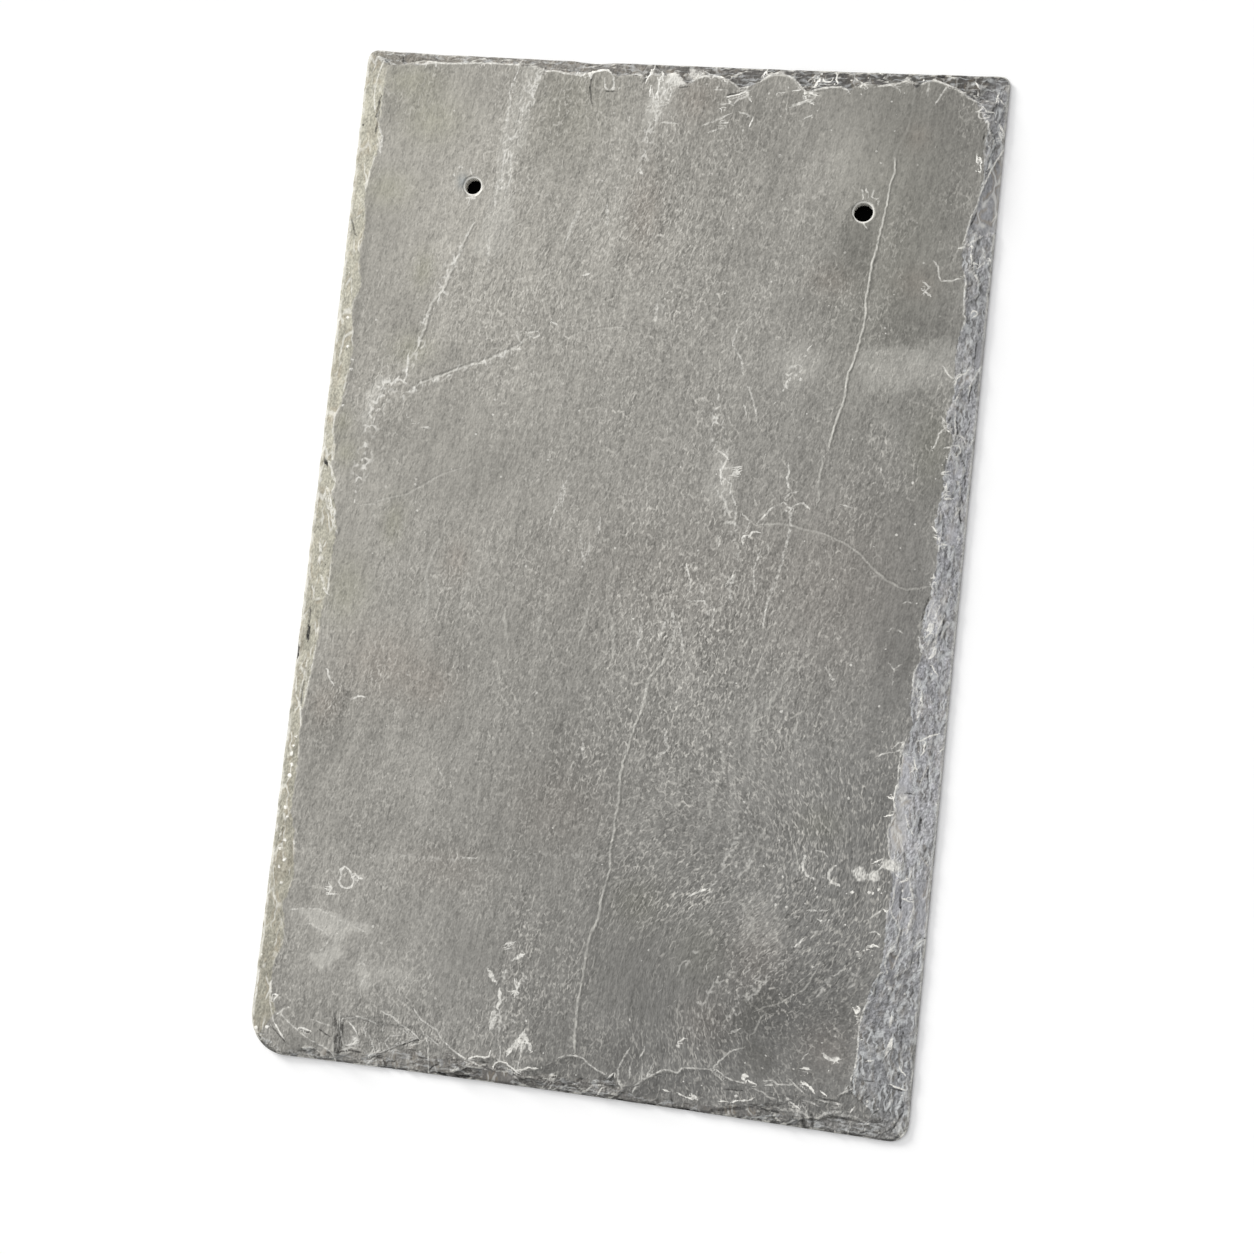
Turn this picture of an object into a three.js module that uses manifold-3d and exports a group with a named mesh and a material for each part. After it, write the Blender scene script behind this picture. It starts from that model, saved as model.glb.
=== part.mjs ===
// Natural slate roof tile: one riven sheet with dressed edges and two nail holes.
//
// Units are millimetres and +Z is up. The sheet lies on its back at z = 0 with its weather
// face up. The nailed head is towards +Y and the exposed tail towards -Y. The origin is the
// centre of the back face.
//
// The trimming knife breaks each edge of the weather face back in a rough bevel. Slate parts
// along its cleavage, so the bevel climbs from the rim to the face in low level terraces with
// ragged risers, and here and there a whole flake has come away and left a flat scar.

import * as THREE from "three";
import { mergeVertices } from "three/addons/utils/BufferGeometryUtils.js";
import Module from "manifold-3d";

// ---------------------------------------------------------------- driving dimensions

const TILE_WIDTH = 255;
const TILE_LENGTH = 400;
const TILE_THICKNESS = 5;

/** Upright rim that the knife leaves above the back face. */
const RIM_HEIGHT = 1.7;

/** Cleavage terraces between the rim and the weather face. */
const TERRACE_COUNT = 4;

/** Risers and treads share the bevel's width by these weights, which wander along the edge. */
const RISER_WEIGHT = 0.5;
const TREAD_WEIGHT = 1;
const WEIGHT_WANDER = 1.5;

/** How far the inner line of the bevel strays on a rough edge. */
const ARRIS_STRAY = 1.3;

/** Shape of the outline and of the bevel's inner line at each corner: radii. */
const TAIL_LEFT_CORNER = { rim: 15.5, arris: 9 };
const TAIL_RIGHT_CORNER = { rim: 7, arris: 6 };
const HEAD_RIGHT_CORNER = { rim: 3.5, arris: 7 };
const HEAD_LEFT_CORNER = { rim: 4, arris: 2.5 };

/**
 * The four edges, each followed counter-clockwise. `hollow` is how far the cut bows inwards
 * at mid length. `bevel` is the width of the dressing at even steps along the edge. `roughness`
 * runs from 0, a plain shaved slope, to 1, sharp terraces.
 */
const TAIL_EDGE = {
  hollow: 1.1,
  bevel: [11.5, 6, 8, 12, 9, 7.5, 8.5, 11, 13.5, 11.5, 11.5, 14],
  roughness: 1,
};
const RIGHT_EDGE = {
  hollow: 0.3,
  bevel: [14, 13.5, 12.5, 13, 12, 11.5, 10, 10.5, 10.5, 9.5, 8, 8],
  roughness: 0.9,
};
const HEAD_EDGE = {
  hollow: 0.8,
  bevel: [9, 6, 6.5, 7.5, 8.5, 7, 7, 6, 4.5, 4, 5.5, 6],
  roughness: 0.85,
};
const LEFT_EDGE = {
  hollow: 1.2,
  bevel: [8, 9, 8, 8.5, 9, 9, 9, 8.5, 7.5, 9.5, 8.5, 8],
  roughness: 0.15,
};

/** Nick in the cut line of the head edge: its place along the edge, its width and depth. */
const HEAD_NICK = { along: 0.63, width: 12, depth: 0.8 };

/**
 * Flakes lost from the weather face at the edges: the edge, the place along it, the length
 * along it, how far in from the rim the scar reaches, and its depth below the face.
 */
const FLAKE_SCARS = [
  { edge: TAIL_EDGE, along: 0.208, length: 34, reach: 20, depth: 1.4 },
  { edge: TAIL_EDGE, along: 0.3, length: 30, reach: 15, depth: 0.5 },
  { edge: TAIL_EDGE, along: 0.51, length: 17, reach: 15, depth: 0.7 },
  { edge: TAIL_EDGE, along: 0.715, length: 38, reach: 17, depth: 0.9 },
  { edge: TAIL_EDGE, along: 0.87, length: 30, reach: 14, depth: 0.6 },
  { edge: RIGHT_EDGE, along: 0.1, length: 84, reach: 23, depth: 0.8 },
  { edge: RIGHT_EDGE, along: 0.28, length: 66, reach: 17, depth: 0.7 },
  { edge: RIGHT_EDGE, along: 0.43, length: 54, reach: 14, depth: 0.6 },
  { edge: RIGHT_EDGE, along: 0.68, length: 30, reach: 12.5, depth: 0.8 },
  { edge: RIGHT_EDGE, along: 0.88, length: 38, reach: 9.5, depth: 2.1 },
  { edge: HEAD_EDGE, along: 0.075, length: 34, reach: 12, depth: 1.3 },
  { edge: HEAD_EDGE, along: 0.35, length: 26, reach: 10.5, depth: 0.8 },
  { edge: HEAD_EDGE, along: 0.5, length: 17, reach: 9.5, depth: 1.2 },
];

/**
 * Points round a scar's edge, how far each may stray as a share of the reach, and how full
 * the scar's shape is: 1 for a half-ellipse, less for one with squarer ends.
 */
const SCAR_POINTS = 15;
const SCAR_STRAY = 0.14;
const SCAR_FULLNESS = 0.7;

/**
 * Nail holes, punched from the back so that the weather face spalls into a shallow seat for
 * the nail's head: distances from the side and head edges, bore, and the seat's rim and depth.
 */
const LEFT_NAIL_HOLE = { fromSide: 50.5, fromHead: 54, bore: 6.6, seat: 8.6, seatDepth: 1.1 };
const RIGHT_NAIL_HOLE = { fromSide: 50.2, fromHead: 56, bore: 7.4, seat: 9.4, seatDepth: 1.2 };
const HOLE_FACETS = 28;

/** Stations along each long and short edge and round each corner, where the bevel is lofted. */
const LONG_EDGE_STATIONS = 88;
const SHORT_EDGE_STATIONS = 56;
const CORNER_STATIONS = 6;

/** Cutters run this far past the faces that they cut. */
const CUTTER_CLEARANCE = 1;

const STONE = { color: 0x9a9791, roughness: 0.86, metalness: 0 };
const RANDOM_SEED = 71;

// ---------------------------------------------------------------- the four edges and corners

/** Handle length of a cubic Bezier curve that follows a quarter circle of radius 1. */
const QUARTER_CIRCLE_HANDLE = (4 / 3) * (Math.SQRT2 - 1);

const TAIL_LEFT = new THREE.Vector2(-TILE_WIDTH / 2, -TILE_LENGTH / 2);
const TAIL_RIGHT = new THREE.Vector2(TILE_WIDTH / 2, -TILE_LENGTH / 2);
const HEAD_RIGHT = new THREE.Vector2(TILE_WIDTH / 2, TILE_LENGTH / 2);
const HEAD_LEFT = new THREE.Vector2(-TILE_WIDTH / 2, TILE_LENGTH / 2);

/** An edge of the sheet with the corners at its ends, able to place a point beside itself. */
class Edge {
  constructor(dressing, start, end, startCorner, endCorner, stations) {
    Object.assign(this, { dressing, start, end, startCorner, endCorner, stations });
    this.direction = end.clone().sub(start).normalize();
    this.inward = new THREE.Vector2(-this.direction.y, this.direction.x);
    const steps = dressing.bevel.map((width, step) => new THREE.Vector2(step, width));
    this.bevelCurve = new THREE.SplineCurve(steps);
  }

  get length() {
    return this.end.distanceTo(this.start);
  }

  /** Width of the bevel at a share of the way along the edge. */
  bevelAt(share) {
    return this.bevelCurve.getPoint(share).y;
  }

  /** How far the cut line lies inside the straight edge at a share of the way along it. */
  bowAt(share) {
    let bow = this.dressing.hollow * Math.sin(Math.PI * share);
    if (this.dressing === HEAD_EDGE) {
      const away = ((share - HEAD_NICK.along) * this.length) / (HEAD_NICK.width / 2);
      bow += HEAD_NICK.depth * Math.exp(-away * away);
    }
    return bow;
  }

  /** The point at a distance along the edge's straight line and a distance inside it. */
  place(distance, inset) {
    return this.start
      .clone()
      .addScaledVector(this.direction, distance)
      .addScaledVector(this.inward, inset);
  }
}

const EDGES = [
  new Edge(TAIL_EDGE, TAIL_LEFT, TAIL_RIGHT, TAIL_LEFT_CORNER, TAIL_RIGHT_CORNER, SHORT_EDGE_STATIONS),
  new Edge(RIGHT_EDGE, TAIL_RIGHT, HEAD_RIGHT, TAIL_RIGHT_CORNER, HEAD_RIGHT_CORNER, LONG_EDGE_STATIONS),
  new Edge(HEAD_EDGE, HEAD_RIGHT, HEAD_LEFT, HEAD_RIGHT_CORNER, HEAD_LEFT_CORNER, SHORT_EDGE_STATIONS),
  new Edge(LEFT_EDGE, HEAD_LEFT, TAIL_LEFT, HEAD_LEFT_CORNER, TAIL_LEFT_CORNER, LONG_EDGE_STATIONS),
];

/** The next or the previous edge round the sheet. */
function neighbour(index, step) {
  return EDGES[(index + step + EDGES.length) % EDGES.length];
}

// ---------------------------------------------------------------- ragged lines

THREE.MathUtils.seededRandom(RANDOM_SEED);

/** A closed row of seeded values from -1 to 1 that vary smoothly over a few stations. */
function raggedLine(count, coarseness) {
  const knots = Array.from({ length: Math.ceil(count / coarseness) }, () => {
    return 2 * THREE.MathUtils.seededRandom() - 1;
  });
  return Array.from({ length: count }, (unused, station) => {
    const place = (station / count) * knots.length;
    const knot = Math.floor(place);
    const blend = THREE.MathUtils.smoothstep(place - knot, 0, 1);
    return THREE.MathUtils.lerp(knots[knot], knots[(knot + 1) % knots.length], blend);
  });
}

/** A ragged line with long swings, short swings and single-station nicks. */
function brokenLine(count) {
  const lines = [raggedLine(count, 9), raggedLine(count, 3), raggedLine(count, 1.3)];
  return Array.from({ length: count }, (unused, station) => {
    return 0.4 * lines[0][station] + 0.35 * lines[1][station] + 0.25 * lines[2][station];
  });
}

// ---------------------------------------------------------------- the cut line and the arris

/**
 * One closed line round the sheet, counter-clockwise from the left end of the tail. Every
 * such line has its points at the same stations, so that two of them pair up for a loft.
 */
function lineRound(insetAt, radiusOf) {
  return EDGES.flatMap((edge, index) => {
    const next = neighbour(index, 1);
    const startRadius = radiusOf(edge.startCorner);
    const endRadius = radiusOf(edge.endCorner);
    const from = insetAt(neighbour(index, -1), 1) + startRadius;
    const to = edge.length - insetAt(next, 0) - endRadius;

    const straight = Array.from({ length: edge.stations }, (unused, step) => {
      const share = step / (edge.stations - 1);
      return edge.place(THREE.MathUtils.lerp(from, to, share), insetAt(edge, share));
    });

    const leave = straight[straight.length - 1];
    const meet = next.place(insetAt(edge, 1) + endRadius, insetAt(next, 0));
    const handle = endRadius * QUARTER_CIRCLE_HANDLE;
    const corner = new THREE.CubicBezierCurve(
      leave,
      leave.clone().addScaledVector(edge.direction, handle),
      meet.clone().addScaledVector(next.direction, -handle),
      meet,
    );
    return [...straight, ...corner.getPoints(CORNER_STATIONS + 1).slice(1, -1)];
  });
}

/** How strongly the terraces show at each station, blended round the corners. */
function roughnessRound() {
  return EDGES.flatMap((edge, index) => {
    const here = edge.dressing.roughness;
    const there = neighbour(index, 1).dressing.roughness;
    const along = Array(edge.stations).fill(here);
    const corner = Array.from({ length: CORNER_STATIONS }, (unused, step) => {
      return THREE.MathUtils.lerp(here, there, (step + 1) / (CORNER_STATIONS + 1));
    });
    return [...along, ...corner];
  });
}

/**
 * Where each riser and tread ends at every station, as a share of the bevel's width from the
 * rim: riser, tread, riser and so on, with the last riser ending at the arris.
 */
function bandEnds(count) {
  const bands = Array.from({ length: 2 * TERRACE_COUNT - 1 }, (unused, band) => {
    const weight = band % 2 === 0 ? RISER_WEIGHT : TREAD_WEIGHT;
    return brokenLine(count).map((stray) => weight * Math.exp(WEIGHT_WANDER * stray));
  });
  const totals = bands.reduce((sum, band) => sum.map((value, station) => value + band[station]));
  const reached = Array(count).fill(0);
  return bands.map((band) => {
    return band.map((width, station) => {
      reached[station] += width / totals[station];
      return reached[station];
    });
  });
}

/**
 * The rings of the bevel from the back's edge up to the arris, each with a share of the
 * bevel's width and a height for every station. A rough stretch steps between the cleavage
 * levels, and a shaved one climbs evenly.
 */
function bevelRings(roughness) {
  const count = roughness.length;
  const rise = TILE_THICKNESS - RIM_HEIGHT;
  const foot = Array(count).fill(0);
  const rings = [
    { share: foot, heightAt: () => 0 },
    { share: foot, heightAt: () => RIM_HEIGHT },
  ];
  bandEnds(count).forEach((share, band) => {
    const level = RIM_HEIGHT + (Math.floor(band / 2 + 1) / TERRACE_COUNT) * rise;
    const heightAt = (station) => {
      const slope = RIM_HEIGHT + share[station] * rise;
      return THREE.MathUtils.lerp(slope, level, roughness[station]);
    };
    rings.push({ share, heightAt });
  });
  return rings;
}

/** The sheet before its scars and holes: rings lofted from the back up to the face. */
function dressedSheet() {
  const cutLine = lineRound((edge, share) => edge.bowAt(share), (corner) => corner.rim);
  const roughness = roughnessRound();
  const stray = brokenLine(cutLine.length);
  const arris = lineRound(
    (edge, share) => edge.bowAt(share) + edge.bevelAt(share),
    (corner) => corner.arris,
  ).map((point, station) => {
    const inwards = point.clone().sub(cutLine[station]).normalize();
    return point.addScaledVector(inwards, ARRIS_STRAY * roughness[station] * stray[station]);
  });

  const count = cutLine.length;
  const rings = bevelRings(roughness);
  const positions = rings.flatMap((ring) => {
    return cutLine.flatMap((point, station) => {
      const place = point.clone().lerp(arris[station], ring.share[station]);
      return [place.x, place.y, ring.heightAt(station)];
    });
  });

  const indices = [];
  for (let ring = 0; ring < rings.length - 1; ring += 1) {
    for (let station = 0; station < count; station += 1) {
      const below = ring * count + station;
      const belowNext = ring * count + ((station + 1) % count);
      indices.push(below, belowNext, belowNext + count);
      indices.push(below, belowNext + count, below + count);
    }
  }
  const face = (rings.length - 1) * count;
  for (const [a, b, c] of THREE.ShapeUtils.triangulateShape(arris, [])) {
    indices.push(face + a, face + b, face + c);
  }
  for (const [a, b, c] of THREE.ShapeUtils.triangulateShape(cutLine, [])) {
    indices.push(c, b, a);
  }
  const geometry = new THREE.BufferGeometry();
  geometry.setAttribute("position", new THREE.Float32BufferAttribute(positions, 3));
  geometry.setIndex(indices);
  return geometry;
}

// ---------------------------------------------------------------- scars and holes

/** Cutter for one lost flake: a ragged half-round prism that opens over the edge. */
function scarCutter(scar) {
  const edge = EDGES.find((candidate) => candidate.dressing === scar.edge);
  const middle = scar.along * edge.length;
  const outside = -CUTTER_CLEARANCE;
  const rim = Array.from({ length: SCAR_POINTS }, (unused, step) => {
    const angle = (Math.PI * step) / (SCAR_POINTS - 1);
    const stray = 1 + SCAR_STRAY * (2 * THREE.MathUtils.seededRandom() - 1);
    const aside = Math.sign(Math.cos(angle)) * Math.abs(Math.cos(angle)) ** SCAR_FULLNESS;
    const inwards = Math.sin(angle) ** SCAR_FULLNESS * stray;
    return edge.place(middle + (aside * scar.length) / 2, outside + inwards * (scar.reach - outside));
  });
  const prism = new THREE.ExtrudeGeometry(new THREE.Shape(rim), {
    depth: scar.depth + CUTTER_CLEARANCE,
    bevelEnabled: false,
  });
  return prism.translate(0, 0, TILE_THICKNESS - scar.depth);
}

/** Cutter for one nail hole: the bore with its spalled seat, turned about the hole's axis. */
function holeCutter(hole, side) {
  const bore = hole.bore / 2;
  const seat = hole.seat / 2;
  const top = TILE_THICKNESS + CUTTER_CLEARANCE;
  const profile = [
    new THREE.Vector2(0, -CUTTER_CLEARANCE),
    new THREE.Vector2(bore, -CUTTER_CLEARANCE),
    new THREE.Vector2(bore, TILE_THICKNESS - hole.seatDepth),
    new THREE.Vector2(seat, TILE_THICKNESS),
    new THREE.Vector2(seat, top),
    new THREE.Vector2(0, top),
  ];
  return new THREE.LatheGeometry(profile, HOLE_FACETS)
    .rotateX(Math.PI / 2)
    .translate(side * (TILE_WIDTH / 2 - hole.fromSide), TILE_LENGTH / 2 - hole.fromHead, 0);
}

// ---------------------------------------------------------------- solid modelling

const wasm = await Module();
wasm.setup();

/** Turns a closed geometry into a solid. */
function toSolid(geometry) {
  const bare = geometry.clone();
  bare.deleteAttribute("normal");
  bare.deleteAttribute("uv");
  const merged = mergeVertices(bare, 1e-4);
  return new wasm.Manifold(
    new wasm.Mesh({
      numProp: 3,
      vertProperties: merged.attributes.position.array,
      triVerts: new Uint32Array(merged.index.array),
    }),
  );
}

/** Turns a solid back into a geometry with flat facets. */
function toGeometry(solid) {
  const mesh = solid.getMesh();
  const geometry = new THREE.BufferGeometry();
  geometry.setAttribute("position", new THREE.BufferAttribute(mesh.vertProperties, 3));
  geometry.setIndex(new THREE.BufferAttribute(mesh.triVerts, 1));
  geometry.computeVertexNormals();
  return geometry;
}

/** The finished slate: the dressed sheet less its lost flakes and its nail holes. */
function buildSlate() {
  const sheet = toSolid(dressedSheet());
  const cutters = [
    ...FLAKE_SCARS.map(scarCutter),
    holeCutter(LEFT_NAIL_HOLE, -1),
    holeCutter(RIGHT_NAIL_HOLE, 1),
  ];
  const cut = cutters.reduce((solid, cutter) => solid.subtract(toSolid(cutter)), sheet);
  const slate = new THREE.Mesh(toGeometry(cut), new THREE.MeshStandardMaterial(STONE));
  slate.name = "slate";
  return slate;
}

const tile = new THREE.Group();
tile.add(buildSlate());

export default tile;
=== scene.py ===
"""Looks of the natural slate roof tile: one riven sheet with dressed edges and two nail holes.

The sheet is modelled as a flat slab of unit height, whose top is a fine grid trimmed to the
cut outline. The slab is then raised between two surfaces, the plain back and the weather
face, which hold the riven relief, the flaked bevel of the dressed edges and the spalled nail
holes. Lengths are millimetres until a mesh is written, and metres from there on.
"""

from __future__ import annotations

import functools
import logging
import math
from dataclasses import dataclass, field
from enum import Enum
from typing import Sequence

import bmesh
import bpy
import numpy as np
from mathutils import Matrix, Vector


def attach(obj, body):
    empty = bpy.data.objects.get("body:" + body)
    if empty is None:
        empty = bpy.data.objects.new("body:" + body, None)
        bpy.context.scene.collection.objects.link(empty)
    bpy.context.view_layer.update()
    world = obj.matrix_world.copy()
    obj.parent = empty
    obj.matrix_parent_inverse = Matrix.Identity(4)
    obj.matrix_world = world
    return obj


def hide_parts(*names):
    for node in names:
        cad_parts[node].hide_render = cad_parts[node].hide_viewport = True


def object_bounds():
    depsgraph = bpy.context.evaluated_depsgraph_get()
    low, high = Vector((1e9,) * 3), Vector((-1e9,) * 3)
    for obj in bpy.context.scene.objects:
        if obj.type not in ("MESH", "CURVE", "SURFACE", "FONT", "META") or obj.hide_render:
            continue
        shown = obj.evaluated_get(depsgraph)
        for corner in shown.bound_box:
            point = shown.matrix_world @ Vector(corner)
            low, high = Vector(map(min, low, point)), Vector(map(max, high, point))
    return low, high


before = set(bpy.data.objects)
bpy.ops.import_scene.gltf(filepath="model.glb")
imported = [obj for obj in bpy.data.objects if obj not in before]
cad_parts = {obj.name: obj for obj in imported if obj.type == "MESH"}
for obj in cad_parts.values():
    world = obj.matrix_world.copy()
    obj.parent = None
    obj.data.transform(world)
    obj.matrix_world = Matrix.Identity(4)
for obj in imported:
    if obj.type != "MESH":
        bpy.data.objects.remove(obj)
CAD_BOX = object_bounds()

LOG = logging.getLogger("slate")

Array = np.ndarray
Socket = bpy.types.NodeSocket

MM = 0.001
STONE_WIDTH, STONE_LENGTH, STONE_THICKNESS = (round((high - low) / MM, 3) for low, high in zip(*CAD_BOX))


# ---------------------------------------------------------------- seeded grain


class Grain:
    """Seeded lattice noise and cell patterns, worked on whole arrays of points.

    Attributes:
        TABLE: how many chance values it draws of each kind.
        GAIN: factor that brings the noise to about -1 to 1.
        STEP: how far each octave is moved from the last, in lattice cells.
        STRAY: how far a seed strays from the middle of its cell.
    """

    TABLE = 1024
    GAIN = 1.6
    STEP = (17.3, -9.1)
    STRAY = 0.45

    def __init__(self, seed: int) -> None:
        """Shuffles the lattice.

        Args:
            seed: any whole number; the same seed always gives the same pattern.
        """
        chance = np.random.RandomState(seed)
        self._order = chance.permutation(self.TABLE)
        self._values = chance.uniform(-1.0, 1.0, (6, self.TABLE))

    def _entry(self, column: Array, row: Array) -> Array:
        """The table entry of a lattice point."""
        first = self._order[np.mod(row, self.TABLE)]
        return self._order[np.mod(column + first, self.TABLE)]

    def noise(self, u: Array, v: Array) -> Array:
        """Smooth gradient noise.

        Args:
            u: first coordinate, in lattice cells.
            v: second coordinate, in lattice cells.

        Returns:
            Values from about -1 to 1, with a mean of 0.
        """
        column, row = np.floor(u).astype(int), np.floor(v).astype(int)
        fu, fv = u - column, v - row
        su = fu * fu * fu * (fu * (fu * 6 - 15) + 10)
        sv = fv * fv * fv * (fv * (fv * 6 - 15) + 10)
        corners = []
        for dv in (0, 1):
            for du in (0, 1):
                entry = self._entry(column + du, row + dv)
                slope_u, slope_v = self._values[0, entry], self._values[1, entry]
                corners.append(slope_u * (fu - du) + slope_v * (fv - dv))
        low = corners[0] + su * (corners[1] - corners[0])
        high = corners[2] + su * (corners[3] - corners[2])
        return self.GAIN * (low + sv * (high - low))

    def fractal(self, u: Array, v: Array, octaves: int) -> Array:
        """Noise summed over octaves, each half the size and half the height of the last.

        Args:
            u: first coordinate, in cells of the coarsest octave.
            v: second coordinate.
            octaves: how many there are.

        Returns:
            Values from about -2 to 2, with a mean of 0.
        """
        total = np.zeros_like(u)
        for octave in range(octaves):
            scale = 2.0**octave
            moved_u, moved_v = u * scale + self.STEP[0] * octave, v * scale + self.STEP[1] * octave
            total += self.noise(moved_u, moved_v) / scale
        return total

    def cells(self, u: Array, v: Array) -> "Cells":
        """The nearest scattered seed to each point, as for flakes or crystals.

        Args:
            u: first coordinate, in cells.
            v: second coordinate, in cells.

        Returns:
            The seeds' places, their chance values and the gap to the second nearest.
        """
        column, row = np.floor(u).astype(int), np.floor(v).astype(int)
        best = np.full(u.shape, 1e9)
        second = np.full(u.shape, 1e9)
        seed_u, seed_v = np.zeros_like(u), np.zeros_like(v)
        entry = np.zeros(u.shape, int)
        for dv in (-1, 0, 1):
            for du in (-1, 0, 1):
                near = self._entry(column + du, row + dv)
                place_u = column + du + 0.5 + self.STRAY * self._values[2, near]
                place_v = row + dv + 0.5 + self.STRAY * self._values[3, near]
                away = np.hypot(place_u - u, place_v - v)
                closer = away < best
                second = np.where(closer, best, np.minimum(second, away))
                seed_u = np.where(closer, place_u, seed_u)
                seed_v = np.where(closer, place_v, seed_v)
                entry = np.where(closer, near, entry)
                best = np.where(closer, away, best)
        chance = (self._values[4, entry], self._values[5, entry])
        return Cells(seed_u, seed_v, chance, second - best)


@dataclass(frozen=True)
class Cells:
    """What Grain.cells finds for each point.

    Attributes:
        seed_u: first coordinate of the nearest seed.
        seed_v: its second coordinate.
        chance: two chance values of that seed, from -1 to 1.
        gap: how much further away the second nearest seed is.
    """

    seed_u: Array
    seed_v: Array
    chance: tuple[Array, Array]
    gap: Array


def smoothstep(value: Array, low: float, high: float) -> Array:
    """Goes smoothly from 0 at low to 1 at high."""
    share = np.clip((value - low) / (high - low), 0.0, 1.0)
    return share * share * (3.0 - 2.0 * share)


def distance_to_line(
    x: Array, y: Array, start: tuple[float, float], end: tuple[float, float]
) -> tuple[Array, Array]:
    """Measures how far points lie from a straight stretch.

    Args:
        x: the points' first coordinate.
        y: their second coordinate.
        start: one end of the stretch.
        end: its other end.

    Returns:
        The distance, and 1 on the right of the stretch and -1 on its left or where it is a point.
    """
    run = max(math.hypot(end[0] - start[0], end[1] - start[1]), 1e-6)
    ux, uy = (end[0] - start[0]) / run, (end[1] - start[1]) / run
    dx, dy = x - start[0], y - start[1]
    along = np.clip(dx * ux + dy * uy, 0.0, run)
    return np.hypot(dx - ux * along, dy - uy * along), np.where(dx * uy - dy * ux > 0.0, 1.0, -1.0)


# ---------------------------------------------------------------- the sheet's plan


def depth_inside(x: Array, y: Array, outline: Sequence[float]) -> Array:
    """How far inside a closed outline each point lies.

    Args:
        x: plan coordinate.
        y: plan coordinate.
        outline: its corners, as x and y in turn.

    Returns:
        The distance to the outline, below 0 outside it.
    """
    corners = np.array(outline, float).reshape(-1, 2)
    inside = np.zeros(x.shape, bool)
    border = np.full(x.shape, 1e9)
    for (ax, ay), (bx, by) in zip(corners, np.roll(corners, -1, axis=0)):
        border = np.minimum(border, distance_to_line(x, y, (ax, ay), (bx, by))[0])
        if ay != by:
            crossing = ax + (y - ay) * (bx - ax) / (by - ay)
            inside ^= ((ay > y) != (by > y)) & (x < crossing)
    return np.where(inside, border, -border)


class Side(Enum):
    """The four edges, counter-clockwise from the tail."""

    TAIL = 0
    RIGHT = 1
    HEAD = 2
    LEFT = 3

    @property
    def next(self) -> "Side":
        """The edge that follows counter-clockwise."""
        return Side((self.value + 1) % 4)

    @property
    def runs_along_x(self) -> bool:
        """Whether the edge runs across the tile."""
        return self in (Side.TAIL, Side.HEAD)

    @property
    def outward(self) -> int:
        """Which way the edge faces, along X or Y."""
        return -1 if self in (Side.TAIL, Side.LEFT) else 1

    def corner_of(self, half_x: float, half_y: float) -> tuple[float, float]:
        """The edge's far corner on a rectangle with these half sizes."""
        return half_x * self.next.outward, half_y * self.outward


@dataclass(frozen=True)
class Dressing:
    """How the trimming knife left one edge.

    Attributes:
        hollow: how far the cut bows inwards at mid length.
        roughness: 0 for a shaved slope, 1 for loose flakes.
        rim_shade: above 0 where the cut rim is worn pale, below 0 where it is dark.
        corner_rim: radius of the outline at the edge's far corner.
        corner_arris: radius of the bevel's inner line at that corner.
        shades: colours of its broken stone at even steps along it, counter-clockwise.
        arris: the bevel's inner line, as pairs of place along X or Y and place across it.
        torn: inner line of the strip where it tore instead of splitting, if not all of it.
    """

    hollow: float
    roughness: float
    rim_shade: float
    corner_rim: float
    corner_arris: float
    shades: tuple[str, ...]
    arris: tuple[tuple[float, float], ...]
    torn: tuple[tuple[float, float], ...] = ()


@dataclass(frozen=True)
class NailHole:
    """A punched nail hole, which spalls into a shallow seat on the weather face.

    Attributes:
        x: plan coordinate of its centre.
        y: plan coordinate of its centre.
        bore: its diameter.
        seat: diameter of its seat.
        seat_depth: depth of the seat in the solid.
    """

    x: float
    y: float
    bore: float
    seat: float
    seat_depth: float


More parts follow.
